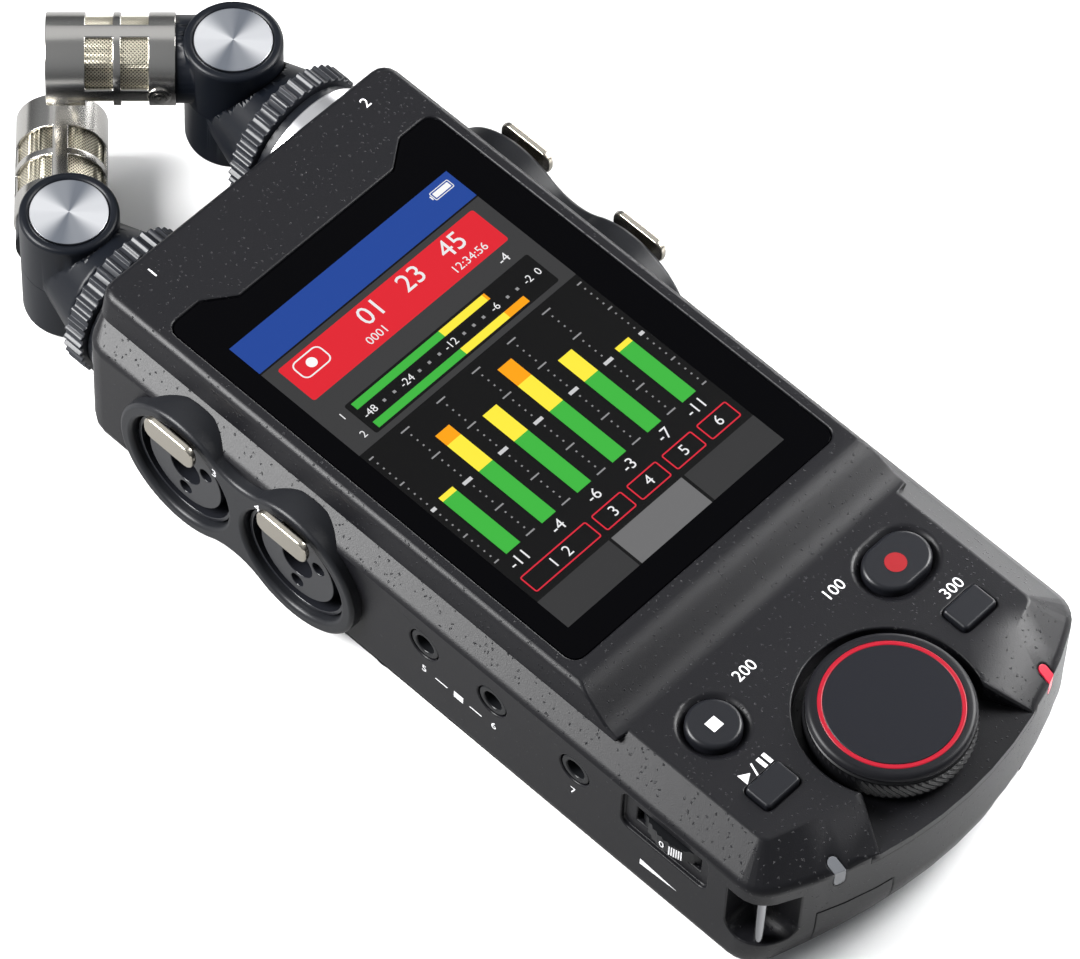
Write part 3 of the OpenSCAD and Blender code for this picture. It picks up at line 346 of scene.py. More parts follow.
# the edge where the halves meet is softly rounded, so the light runs on from one to the other
on_seam = {}
for face in upper_half.data.polygons:
    if 0.6 < face.normal.z < 0.97:
        for k in face.vertices:
            spot = upper_half.data.vertices[k].co / mm
            if abs(spot.z - seam) < 0.01:
                key = (round(spot.x, 1), round(spot.y, 1))
                on_seam[key] = on_seam.get(key, Vector()) + face.normal
for half, lowest, highest in ((lower_half, -0.2, 0.3), (upper_half, 0.6, 0.97)):
    lit = [Vector(corner.vector) for corner in half.data.corner_normals]
    for face in half.data.polygons:
        for k in face.loop_indices:
            spot = half.data.vertices[half.data.loops[k].vertex_index].co / mm
            slope = on_seam.get((round(spot.x, 1), round(spot.y, 1)))
            if slope and abs(spot.z - seam) < 0.01 and lowest < face.normal.z < highest:
                outward = Vector((slope.x, slope.y, 0)).normalized()
                if outward.dot(face.normal) > 0.3:
                    lit[k] = (outward + slope.normalized()).normalized()
    half.data.normals_split_custom_set(lit)

# The battery cover, the card door and the strap post close the back and the nose. The covers
# are moulded in the case plastic, and the post is a turned steel pin across the strap recess.
battery_lid = finished_from("battery_cover", "battery_lid", 0.25)
nose_door = finished_from("card_door", "nose_card_door", 0.15)
for lid in (battery_lid, nose_door):
    wear(lid, charcoal)
pin_steel = plain_finish("pin_steel", srgb(150, 151, 154), 0.18, 1.0)
strap_pin = finished_from("strap_post", "strap_pin", 0.12)
wear(strap_pin, pin_steel)

# The display stack: black-backed cover glass over the lit module. The picture is built of thin
# lit tiles just on the glass, in millimetres from the top left corner of the lit area.
glass_black = plain_finish("black_backed_glass", srgb(2, 2, 3), 0.1, specular=0.03)
cover_glass = finished_from("display_glass", "display_cover_glass", 0.12, 2)
wear(cover_glass, glass_black)
picture_left, picture_top, picture_level = -25.68, 36.72, 33.1
layer_step, tile_thickness, figure_rise = 0.02, 0.015, 0.018
font_numeral_height = 0.72


def glowing(material, colour, strength):
    """Lets a finish shine by itself, as a lit picture or a light guide does."""
    surface = material.node_tree.nodes["Principled BSDF"]
    surface.inputs["Emission Color"].default_value = colour
    surface.inputs["Emission Strength"].default_value = strength
    material.cycles.emission_sampling = "NONE"
    return material


def lit_finish(name, colour):
    return glowing(plain_finish(name, (0, 0, 0, 1), 0.5, specular=0.1), colour, 1.0)


def lit_tiles(name, boxes, layer, corner=0.0, frame_width=0.0):
    """Flat tiles from (left, top, right, bottom) in the picture, raised to their layer."""
    low = picture_level + layer_step * layer
    tiles = bpy.data.objects.new(name, bpy.data.meshes.new(name))
    bpy.context.scene.collection.objects.link(tiles)
    select_only(tiles)
    bpy.ops.object.mode_set(mode="EDIT")
    for left, top, right_end, bottom in boxes:
        middle = Vector((picture_left + (left + right_end) / 2,
                         picture_top - (top + bottom) / 2, low)) * mm
        bpy.ops.mesh.primitive_plane_add(size=mm, location=middle)
        bpy.ops.transform.resize(value=(right_end - left, bottom - top, 1), center_override=middle)
    bpy.ops.mesh.select_all(action="SELECT")
    if corner:
        bpy.ops.mesh.bevel(offset=corner * mm, segments=5, affect="VERTICES")
        bpy.ops.mesh.select_all(action="SELECT")
    if frame_width:
        bpy.ops.mesh.inset(thickness=frame_width * mm, use_individual=True)
        bpy.ops.mesh.delete(type="FACE")
        bpy.ops.mesh.select_all(action="SELECT")
    bpy.ops.mesh.extrude_region_move(TRANSFORM_OT_translate={"value": (0, 0, tile_thickness * mm)})
    bpy.ops.mesh.select_all(action="SELECT")
    bpy.ops.mesh.normals_make_consistent(inside=False)
    bpy.ops.object.mode_set(mode="OBJECT")
    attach(tiles, "recorder")
    return tiles


def flat_figures(name, figures, place_on, body="recorder"):
    """Printed or lit numerals: (text, across, along, height), each made a mesh and joined."""
    made = []
    for text, across, along, tall in figures:
        bpy.ops.object.select_all(action="DESELECT")
        bpy.ops.object.text_add()
        numeral = bpy.context.object
        numeral.data.body = text
        numeral.data.align_x, numeral.data.align_y = "CENTER", "CENTER"
        numeral.data.size = tall / font_numeral_height * mm
        numeral.data.resolution_u = 3
        bpy.ops.object.convert(target="MESH")
        numeral.matrix_world = place_on(across, along)
        bpy.ops.object.transform_apply(location=True, rotation=True, scale=True)
        made.append(numeral)
    bpy.ops.object.select_all(action="DESELECT")
    for numeral in made:
        numeral.select_set(True)
    bpy.context.view_layer.objects.active = made[0]
    if len(made) > 1:
        bpy.ops.object.join()
    figures_mesh = bpy.context.object
    figures_mesh.name = name
    bpy.ops.object.mode_set(mode="EDIT")
    bpy.ops.mesh.select_all(action="SELECT")
    bpy.ops.mesh.remove_doubles(threshold=0.002 * mm)
    bpy.ops.object.mode_set(mode="OBJECT")
    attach(figures_mesh, body)
    return figures_mesh


def on_picture(layer):
    def place(across, along):
        lit_level = picture_level + layer_step * layer + figure_rise
        return Matrix.Translation(Vector((picture_left + across, picture_top - along, lit_level)) * mm)
    return place


bar_lefts = (3.0, 10.97, 18.93, 26.88, 34.86, 42.84)
bar_tops = (42.86, 34.42, 36.9, 32.6, 38.1, 42.86)
tick_centres = (8.5, 16.48, 24.44, 32.42, 40.4)
dash_levels = (30.3, 37.0, 50.65, 57.3)
dot_levels = [start + step for start in (30.3, 37.0, 43.85, 50.65)
              for step in (1.36, 2.7, 4.02, 5.34)]
dots = [(across - 0.14, along - 0.14, across + 0.14, along + 0.14)
        for along in dot_levels for across in (1.0, *tick_centres, 47.9)]
dots += [(across - 0.26, 23.8, across + 0.26, 24.32)
         for across in (10.25, 12.5, 18.15, 20.35, 22.6, 28.2, 30.4, 32.6, 38.1, 40.3)]
thin_dashes = [(centre - 0.93, along - 0.13, centre + 0.93, along + 0.13)
               for along in dash_levels for centre in tick_centres]
thin_dashes += [(left, along - 0.13, left + 0.95, along + 0.13)
                for along in dash_levels for left in (0.5, 47.5)]
thick_dashes = [(centre - 0.93, 43.5, centre + 0.93, 44.15) for centre in tick_centres]
thick_dashes += [(0.5, 43.5, 1.45, 44.15), (47.5, 43.5, 48.45, 44.15)]
picture = (
    ("picture_black_ground", srgb(4, 4, 5), 1, 0, 0, [(0, 0, 48.96, 73.44)]),
    ("picture_header", srgb(31, 70, 155), 2, 0, 0, [(0, 0, 48.96, 6.75)]),
    ("picture_grey_ground", srgb(58, 58, 59), 2, 0, 0, [(0, 7.1, 48.96, 28.65)]),
    ("picture_dark_tabs", srgb(53, 53, 54), 2, 0, 0,
     [(0, 66.9, 16.0, 73.44), (33.05, 66.9, 48.96, 73.44)]),
    ("picture_light_tab", srgb(111, 111, 112), 2, 0, 0, [(16.55, 66.9, 32.45, 73.44)]),
    ("picture_time_block", srgb(226, 34, 48), 3, 0.5, 0, [(2.4, 8.25, 46.4, 16.4)]),
    ("picture_meter_ground", srgb(4, 4, 5), 3, 0.45, 0, [(4.9, 20.4, 46.3, 27.6)]),
    ("picture_green_bars", srgb(62, 184, 64), 4, 0, 0,
     [(6.0, 20.9, 25.65, 22.35), (6.0, 25.65, 25.65, 27.1)]
     + [(left, 43.85, left + 3.1, 57.45) for left in bar_lefts]),
    ("picture_yellow_bars", srgb(255, 237, 62), 4, 0, 0,
     [(25.65, 20.9, 35.45, 22.35), (25.65, 25.65, 35.55, 27.1)]
     + [(left, max(top, 37.0), left + 3.1, 43.85) for left, top in zip(bar_lefts, bar_tops)]),
    ("picture_orange_bars", srgb(255, 165, 6), 4, 0, 0,
     [(35.45, 20.9, 35.95, 22.35), (35.55, 25.65, 40.0, 27.1)]
     + [(left, top, left + 3.1, 37.0) for left, top in zip(bar_lefts, bar_tops) if top < 36.8]),
    ("picture_dots", srgb(150, 150, 152), 4, 0, 0, dots),
    ("picture_thin_dashes", srgb(150, 150, 152), 4, 0, 0, thin_dashes),
    ("picture_thick_dashes", srgb(205, 205, 207), 4, 0, 0, thick_dashes),
    ("picture_red_boxes", srgb(222, 40, 60), 4, 0.45, 0.24,
     [(1.2, 61.9, 15.9, 65.65)]
     + [(left, 61.9, left + 6.75, 65.65) for left in (17.1, 25.05, 33.05, 41.0)]),
    ("picture_record_frame", srgb(240, 240, 240), 4, 1.2, 0.26, [(4.3, 9.0, 10.4, 12.9)]),
    ("picture_record_dot", srgb(250, 250, 250), 4, 0.94, 0, [(6.4, 10.0, 8.3, 11.9)]),
    ("picture_cell_frame", srgb(240, 240, 240), 4, 0.3, 0.16, [(43.65, 1.2, 47.85, 3.05)]),
    ("picture_cell_fill", srgb(250, 250, 250), 4, 0.1, 0,
     [(44.05, 1.6, 47.45, 2.65), (43.3, 1.7, 43.55, 2.55)]),
)
for part_name, colour, layer, corner, frame_width, boxes in picture:
    part = lit_tiles(part_name, boxes, layer, corner, frame_width)
    part.data.materials.append(lit_finish(part_name + "_light", colour))
level_figures = [("-48", 7.2, 24.05, 1.45), ("-24", 15.4, 24.05, 1.45), ("-12", 25.3, 24.05, 1.45),
                 ("-6", 35.3, 24.05, 1.45), ("-2", 42.8, 24.05, 1.45), ("0", 45.1, 24.05, 1.45),
                 ("-4", 43.0, 18.5, 1.8), ("1", 3.4, 21.7, 1.4), ("2", 3.4, 26.3, 1.4)]
under_figures = [(text, across, 59.6, 2.15) for text, across in
                 (("-11", 3.8), ("-4", 12.3), ("-6", 20.4), ("-3", 28.4), ("-7", 36.4),
                  ("-11", 43.8))]
box_figures = [(text, across, 63.8, 2.05) for text, across in
               (("1  2", 8.6), ("3", 20.5), ("4", 28.5), ("5", 36.5), ("6", 44.4))]
time_figures = [("01", 20.9, 10.9, 3.6), ("23", 29.9, 10.9, 3.6), ("45", 39.1, 10.9, 3.6),
                ("0001", 18.4, 14.6, 1.6), ("12:34:56", 39.3, 14.6, 1.6)]
lit_figures = flat_figures("picture_figures",
                           level_figures + under_figures + box_figures + time_figures, on_picture(4))
wear(lit_figures, lit_finish("picture_figure_light", srgb(236, 236, 238)))

# The jack fields: a moulded plateau round two locking jacks on each side, lapped over the
# shoulder. It is the case plastic with a finer, smoother skin and well rounded edges.
field_plastic = grained_plastic("jack_field_plastic", srgb(26, 27, 30), srgb(24, 25, 28), 0.36,
                                0.012)
lap_edge = 36.75
jack_places, jack_level, lobe_radius = (10, 35), 13.7, 13.5


def lies_on_case(spot):
    return abs(spot.x) < lap_edge


for side in ("left", "right"):
    field = finished_from(side + "_jack_surround", side + "_jack_field", 0.8, 4,
                          mating=lies_on_case)
    wear(field, field_plastic)
    # each lobe is moulded round about its jack, so its skin faces straight away from that axis
    lit = [Vector(corner.vector) for corner in field.data.corner_normals]
    for face in field.data.polygons:
        if abs(face.normal.x) < 0.2:
            for k in face.loop_indices:
                spot = field.data.vertices[field.data.loops[k].vertex_index].co / mm
                for jack_along in jack_places:
                    arm = Vector((0, spot.y - jack_along, spot.z - jack_level))
                    on_lobe = abs(arm.length - lobe_radius) < 0.05
                    if on_lobe and arm.normalized().dot(face.normal) > 0.7:
                        lit[k] = arm.normalized()
    field.data.normals_split_custom_set(lit)

# The locking jacks: glossy nylon sockets with a ring gap, a bored core and three contact holes.
# A nickel plate above each one pushes inwards and frees the plug.
jack_nylon = plain_finish("jack_nylon", srgb(24, 25, 29), 0.22, specular=0.5)
latch_nickel = plain_finish("latch_nickel", srgb(190, 184, 172), 0.25, 1.0)
for side in ("left", "right"):
    for end in ("rear", "front"):
        socket_body = finished_from(f"{side}_jack_{end}", f"{side}_{end}_locking_jack", 0.15)
        wear(socket_body, jack_nylon)
        push_plate = finished_from(f"{side}_latch_{end}", f"{side}_{end}_latch_plate", 0.35, 4)
        wear(push_plate, latch_nickel)

# The three small jacks in the left wall: black nylon collars with a plain bore, set in a row of
# holes in the lower half.
black_nylon = plain_finish("black_nylon", srgb(18, 19, 21), 0.32)
small_sockets = finished_from("mini_jacks", "small_round_jacks", 0.3, 3)
wear(small_sockets, black_nylon)

# The volume wheel: a ridged thumb wheel moulded in black nylon. It sits on a potentiometer and
# reaches out through a slot in the left wall.
thumb_wheel = finished_from("volume_wheel", "volume_thumb_wheel", 0, angle=20)
wear(thumb_wheel, black_nylon)


# The jog dial: a turned and knurled knob. A satin ring runs round a matt soft-touch top,
# with a red light ring let in between them.
def lathe(name, profile, centre, steps):
    """Turns a profile of (radius, height), in millimetres, about an upright axis."""
    bpy.ops.object.select_all(action="DESELECT")
    bpy.ops.mesh.primitive_plane_add(size=mm)
    turned = bpy.context.object
    turned.name = name
    bpy.ops.object.mode_set(mode="EDIT")
    bpy.ops.mesh.select_mode(type="VERT")
    bpy.ops.mesh.select_all(action="SELECT")
    bpy.ops.mesh.merge(type="CENTER")
    start = Vector((centre[0] + profile[0][0], centre[1], centre[2] + profile[0][1])) * mm
    bpy.ops.transform.translate(value=start)
    for before, after in zip(profile, profile[1:]):
        step = Vector((after[0] - before[0], 0, after[1] - before[1])) * mm
        bpy.ops.mesh.extrude_region_move(TRANSFORM_OT_translate={"value": step})
    bpy.ops.mesh.select_all(action="SELECT")
    bpy.ops.mesh.spin(steps=steps, angle=2 * math.pi, center=Vector(centre) * mm, axis=(0, 0, 1))
    bpy.ops.mesh.select_all(action="SELECT")
    bpy.ops.mesh.remove_doubles(threshold=0.002 * mm)
    bpy.ops.mesh.normals_make_consistent(inside=False)
    bpy.ops.object.mode_set(mode="OBJECT")
    bpy.ops.object.shade_smooth_by_angle(angle=math.radians(28))
    return turned


dial_along = -80.6
dial_axis = (0, dial_along, 0)
top_radius, knurl_top = 10.7, 30.0
dial_satin = plain_finish("dial_satin", srgb(20, 20, 23), 0.36, specular=0.17)
dial_matt = plain_finish("dial_matt_top", srgb(20, 21, 26), 0.6, specular=0.1)
dial_black = plain_finish("dial_knurl_black", srgb(14, 14, 16), 0.38)
knob_profile = [(2.9, 25.2), (13.0, 25.2), (13.2, 25.4), (13.2, 29.3), (12.9, 29.6), (12.9, 29.9),
                (13.25, 30.1), (13.3, 30.5), (13.1, 30.95), (12.75, 31.25), (12.3, 31.36),
                (11.52, 31.36), (11.5, 31.3), (11.5, 30.8), (top_radius, 30.8), (top_radius, 31.36),
                (10.62, 31.42), (0, 31.42)]
knob = lathe("dial_knob_turned", knob_profile, dial_axis, 128)
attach(knob, "dial")
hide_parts("dial_knob")
wear(knob, dial_satin)
knob.data.materials.append(dial_matt)
knob.data.materials.append(dial_black)
for face in knob.data.polygons:
    reach = math.hypot(face.center.x / mm, face.center.y / mm - dial_along)
    if face.normal.z > 0.9 and reach < top_radius:
        face.material_index = 1
    elif face.center.z < knurl_top * mm:
        face.material_index = 2

# the knurl: a band of small diamonds round the foot of the dial
knurl_middle = (0, dial_along * mm, 27.4 * mm)
knurl_foot, row_height, step_degrees = 25.6, 0.6, 2.5
bpy.ops.object.select_all(action="DESELECT")
bpy.ops.mesh.primitive_cylinder_add(vertices=144, radius=13.3 * mm, depth=3.6 * mm,
                                    end_fill_type="NOTHING", location=knurl_middle)
knurl = bpy.context.object
knurl.name = "dial_knurl"
bpy.ops.object.transform_apply(location=True)
bpy.ops.object.mode_set(mode="EDIT")
bpy.ops.mesh.select_mode(type="EDGE")
bpy.ops.mesh.select_all(action="DESELECT")
bpy.ops.object.mode_set(mode="OBJECT")
for edge in knurl.data.edges:
    ends = [knurl.data.vertices[i].co for i in edge.vertices]
    edge.select = abs(ends[0].z - ends[1].z) > mm
bpy.ops.object.mode_set(mode="EDIT")
bpy.ops.mesh.subdivide(number_cuts=5)
bpy.ops.mesh.select_mode(type="VERT")
bpy.ops.mesh.select_all(action="DESELECT")
bpy.ops.object.mode_set(mode="OBJECT")
for point in knurl.data.vertices:
    turned_by = math.degrees(math.atan2(point.co.y - dial_along * mm, point.co.x))
    turn_step = round(turned_by / step_degrees)
    row = round((point.co.z / mm - knurl_foot) / row_height)
    point.select = (turn_step + row) % 2 == 0 and 0 < row < 6
bpy.ops.object.mode_set(mode="EDIT")
bpy.ops.transform.resize(value=(1.022, 1.022, 1), center_override=knurl_middle)
bpy.ops.object.mode_set(mode="OBJECT")
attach(knurl, "dial")
wear(knurl, dial_black)
light_ring = finished_from("dial_light_ring", "dial_red_light_ring", 0.18, 3)
ring_red = glowing(plain_finish("lit_red_ring", srgb(120, 10, 26), 0.3), srgb(190, 16, 44), 0.4)
wear(light_ring, ring_red)

# The four buttons: black moulded caps that stand just proud of the panel in dished rims, each
# over a switch of its own.
button_black = plain_finish("button_black", srgb(20, 21, 25), 0.34)
for key, radius in (("record_button", 0.8), ("stop_button", 0.8),
                    ("play_button", 0.5), ("mark_button", 0.5)):
    cap = finished_from(key, key + "_cap", radius, 4)
    wear(cap, button_black)

# The two indicator windows: light guides moulded in clear and in red plastic, let into the case
# where they wrap over the edge of the nose.
window_red = glowing(plain_finish("lit_red_window", srgb(150, 20, 40), 0.25), srgb(214, 34, 66), 0.55)
window_clear = plain_finish("clear_window", srgb(104, 106, 110), 0.2, specular=0.5)
for node, finish_kind, slot_name in (("peak_window", window_clear, "window"),
                                     ("record_window", window_red, "light_red")):
    guide = finished_from(node, node + "_light_guide", 0.1, 2)
    wear(guide, finish_kind)

# The microphone pair: silver sockets in the end wall, ribbed lock rings, painted alloy arms with
# spun aluminium discs on the hinge barrels, and slotted nickel shells over woven mesh.
arm_paint = plain_finish("arm_navy_paint", srgb(11, 14, 20), 0.36, specular=0.2)
ring_black = plain_finish("ring_black", srgb(30, 32, 37), 0.36, specular=0.4)
socket_silver = plain_finish("socket_silver", srgb(200, 200, 202), 0.32, 1.0)
shell_nickel = plain_finish("shell_nickel", srgb(196, 194, 190), 0.22, 1.0)
collars = finished_from("mic_sockets", "microphone_sockets", 0.3)
wear(collars, socket_silver)

# painted highlights on turned metal: light and dark wedges about the middle, painted in the base
# colour where a lathe-turned face shows them as reflections
wedge_highlight_group = bpy.data.node_groups.new("painted_spun_highlights", "ShaderNodeTree")
wedge_highlight_group.interface.new_socket("Vector", in_out="INPUT", socket_type="NodeSocketVector")
wedge_highlight_group.interface.new_socket("Tone", in_out="OUTPUT", socket_type="NodeSocketFloat")
sn, sl = wedge_highlight_group.nodes, wedge_highlight_group.links
spun_in, spun_out = sn.new("NodeGroupInput"), sn.new("NodeGroupOutput")
sweep = sn.new("ShaderNodeTexGradient")
sweep.gradient_type = "RADIAL"
sl.new(spun_in.outputs["Vector"], sweep.inputs["Vector"])
waves = []
for count, start_angle in ((2, math.radians(41)), (6, math.radians(20))):
    angle = sn.new("ShaderNodeMath")
    angle.operation = "MULTIPLY_ADD"
    angle.inputs[1].default_value = count * 2 * math.pi
    angle.inputs[2].default_value = -count * (start_angle + math.pi)
    sl.new(sweep.outputs["Fac"], angle.inputs[0])
    wave = sn.new("ShaderNodeMath")
    wave.operation = "COSINE"
    sl.new(angle.outputs[0], wave.inputs[0])
    waves.append(wave)
both = sn.new("ShaderNodeMath")
both.operation = "MULTIPLY_ADD"
both.inputs[1].default_value = 0.22
sl.new(waves[1].outputs[0], both.inputs[0])
sl.new(waves[0].outputs[0], both.inputs[2])
tone = sn.new("ShaderNodeMapRange")
tone.inputs["From Min"].default_value, tone.inputs["From Max"].default_value = 1.0, -0.9
sl.new(both.outputs[0], tone.inputs["Value"])
sl.new(tone.outputs["Result"], spun_out.inputs["Tone"])


def spun_alloy_painted_highlights(name, centre):
    """Bright turned aluminium about a centre (x, y), in millimetres, with painted highlight wedges in
    its base colour.
    """
    material = plain_finish(name, srgb(220, 222, 226), 0.28, 1.0)
    nodes, links = material.node_tree.nodes, material.node_tree.links
    spot = nodes.new("ShaderNodeTexCoord")
    about = nodes.new("ShaderNodeMapping")
    about.inputs["Location"].default_value = (-centre[0] * mm, -centre[1] * mm, 0)
    links.new(spot.outputs["Object"], about.inputs["Vector"])
    wedges = nodes.new("ShaderNodeGroup")
    wedges.node_tree = wedge_highlight_group
    links.new(about.outputs["Vector"], wedges.inputs["Vector"])
    # the painted highlight: a dull colour for the dark wedges and a bright one for the light wedges
    tint = nodes.new("ShaderNodeMix")
    tint.data_type = "RGBA"
    tint.inputs["A"].default_value = srgb(132, 137, 146)
    tint.inputs["B"].default_value = srgb(248, 249, 252)
    links.new(wedges.outputs["Tone"], tint.inputs["Factor"])
    links.new(tint.outputs["Result"], nodes["Principled BSDF"].inputs["Base Color"])
    return material


# woven wire: two sets of wires that cross on the slant round a tube along Z
woven = bpy.data.node_groups.new("wire_weave", "ShaderNodeTree")
woven.interface.new_socket("Vector", in_out="INPUT", socket_type="NodeSocketVector")
woven.interface.new_socket("Wire", in_out="OUTPUT", socket_type="NodeSocketFloat")
wn, wl = woven.nodes, woven.links
weave_in, weave_out = wn.new("NodeGroupInput"), wn.new("NodeGroupOutput")
parts = wn.new("ShaderNodeSeparateXYZ")
wl.new(weave_in.outputs["Vector"], parts.inputs[0])
around = wn.new("ShaderNodeMath")
around.operation = "ARCTAN2"
wl.new(parts.outputs["Y"], around.inputs[0])
wl.new(parts.outputs["X"], around.inputs[1])
wire_pitch, tube_radius = 0.62, 6.95
sets = []
for lean in (1, -1):
    slant = wn.new("ShaderNodeMath")
    slant.operation = "MULTIPLY"
    slant.inputs[1].default_value = lean * tube_radius * mm
    wl.new(around.outputs[0], slant.inputs[0])
    path = wn.new("ShaderNodeMath")
    path.operation = "ADD"
    wl.new(slant.outputs[0], path.inputs[0])
    wl.new(parts.outputs["Z"], path.inputs[1])
    turns = wn.new("ShaderNodeMath")
    turns.operation = "MULTIPLY"
    turns.inputs[1].default_value = 2 * math.pi / (wire_pitch * mm)
    wl.new(path.outputs[0], turns.inputs[0])
    wire = wn.new("ShaderNodeMath")
    wire.operation = "SINE"
    wl.new(turns.outputs[0], wire.inputs[0])
    sets.append(wire)
upper = wn.new("ShaderNodeMath")
upper.operation = "MAXIMUM"
for k in (0, 1):
    wl.new(sets[k].outputs[0], upper.inputs[k])
level_wire = wn.new("ShaderNodeMapRange")
level_wire.inputs["From Min"].default_value = -0.4
wl.new(upper.outputs[0], level_wire.inputs["Value"])
wl.new(level_wire.outputs["Result"], weave_out.inputs["Wire"])


def weave_finish(name, start, turn):
    """Champagne wire cloth round a capsule that starts at a point and is turned about Z, with painted
    shade in the gaps between its wires.
    """
    material = plain_finish(name, srgb(190, 182, 160), 0.36, 1.0)
    nodes, links = material.node_tree.nodes, material.node_tree.links
    surface = nodes["Principled BSDF"]
    spot = nodes.new("ShaderNodeTexCoord")
    along = nodes.new("ShaderNodeMapping")
    along.vector_type = "TEXTURE"
    along.inputs["Location"].default_value = Vector(start) * mm
    along.inputs["Rotation"].default_value = (math.radians(-90), 0, math.radians(turn))
    links.new(spot.outputs["Object"], along.inputs["Vector"])
    cloth = nodes.new("ShaderNodeGroup")
    cloth.node_tree = woven
    links.new(along.outputs["Vector"], cloth.inputs["Vector"])
    # painted shade: dark between the wires, light along the wires themselves
    tint = nodes.new("ShaderNodeMix")
    tint.data_type = "RGBA"
    tint.inputs["A"].default_value = srgb(70, 64, 52)
    tint.inputs["B"].default_value = srgb(236, 229, 208)
    links.new(cloth.outputs["Wire"], tint.inputs["Factor"])
    links.new(tint.outputs["Result"], surface.inputs["Base Color"])
    bump = nodes.new("ShaderNodeBump")
    bump.inputs["Distance"].default_value = 0.08 * mm
    bump.inputs["Strength"].default_value = 0.5
    links.new(cloth.outputs["Wire"], bump.inputs["Height"])
    links.new(bump.outputs["Normal"], surface.inputs["Normal"])
    return material


barrel_rims = (20.5, 7.1, -3.9, 31.5)


def off_end_rims(spot):
    return all(abs(spot.z - rim) > 0.06 for rim in barrel_rims)


hinge_across, hinge_along = 18.75, 80.4
capsule_offset = 1.414
capsule_levels = {"left": 3.95, "right": 23.65}
for side, sign in (("left", -1), ("right", 1)):
    hinge = (sign * hinge_across, hinge_along)
    lock_ring = finished_from(side + "_lock_ring", side + "_ribbed_lock_ring", 0.22, 2)
    wear(lock_ring, ring_black)
    fixed_arm = finished_from(side + "_base_arm", side + "_fixed_arm", 0.8, 4, 24, off_end_rims)
    wear(fixed_arm, arm_paint)
    moving_arm = finished_from(side + "_swivel_arm", side + "_moving_arm", 0.8, 4, 24, off_end_rims)
    wear(moving_arm, arm_paint)
    end_disc = finished_from(side + "_swivel_disc", side + "_end_disc", 0.2, 2, join_flats=1)
    wear(end_disc, spun_alloy_painted_highlights(side + "_spun_alloy", hinge))
    shell = finished_from(side + "_capsule_shell", side + "_slotted_shell", 0.18, 2)
    wear(shell, shell_nickel)
    weave = finished_from(side + "_capsule_mesh", side + "_woven_mesh", 0)
    start = (hinge[0] + sign * capsule_offset, hinge[1] + capsule_offset, capsule_levels[side])
    wear(weave, weave_finish(side + "_wire_cloth", start, sign * 45))
# the fixed discs wear the same painted highlight wedges
fixed_discs = finished_from("base_discs", "fixed_end_discs", 0.2, 2, join_flats=1)
wear(fixed_discs, bpy.data.materials["left_spun_alloy"])
fixed_discs.data.materials.append(bpy.data.materials["right_spun_alloy"])
for face in fixed_discs.data.polygons:
    face.material_index = 1 if face.center.x > 0 else 0

# a small steel screw on a round tab holds each shell to its arm
tab_along, tab_out = 12.1, 7.55
bpy.ops.object.select_all(action="DESELECT")
bpy.ops.mesh.primitive_cylinder_add(vertices=40, radius=1.9 * mm, depth=0.5 * mm,
                                    location=(0, 0, 0))
tab = bpy.context.object
tab.name = "right_shell_tab"
bpy.ops.object.mode_set(mode="EDIT")
bpy.ops.mesh.select_mode(type="FACE")
bpy.ops.mesh.select_all(action="DESELECT")
bpy.ops.object.mode_set(mode="OBJECT")
for face in tab.data.polygons:
    face.select = face.normal.z > 0.9
bpy.ops.object.mode_set(mode="EDIT")
bpy.ops.mesh.inset(thickness=0.25 * mm, depth=0.15 * mm)
bpy.ops.mesh.inset(thickness=0.45 * mm)
bpy.ops.mesh.extrude_region_move(TRANSFORM_OT_translate={"value": (0, 0, -0.25 * mm)})
bpy.ops.mesh.inset(thickness=0.12 * mm)
bpy.ops.mesh.extrude_region_move(TRANSFORM_OT_translate={"value": (0, 0, 0.4 * mm)})
bpy.ops.mesh.inset(thickness=0.3 * mm, depth=0.1 * mm)
bpy.ops.mesh.inset(thickness=0.5 * mm)
bpy.ops.mesh.extrude_region_move(TRANSFORM_OT_translate={"value": (0, 0, -0.3 * mm)})
bpy.ops.mesh.select_all(action="SELECT")
bpy.ops.mesh.normals_make_consistent(inside=False)
bpy.ops.object.mode_set(mode="OBJECT")
bpy.ops.object.shade_smooth_by_angle(angle=math.radians(35))
wear(tab, shell_nickel)
other_tab = bpy.data.objects.new("left_shell_tab", tab.data.copy())
bpy.context.scene.collection.objects.link(other_tab)
for piece, side, sign in ((tab, "right", 1), (other_tab, "left", -1)):
    outward = Vector((-sign, -1, 0)).normalized()
    axis = Vector((-sign, 1, 0)).normalized()
    start = Vector((sign * (hinge_across + capsule_offset), hinge_along + capsule_offset,
                    capsule_levels[side]))
    foot = start + axis * tab_along + outward * tab_out
    select_only(piece)
    facing = outward.to_track_quat("Z", "Y").to_matrix().to_4x4()
    piece.matrix_world = Matrix.Translation(foot * mm) @ facing
    bpy.ops.object.transform_apply(location=True, rotation=True, scale=True)
    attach(piece, side + "_microphone")

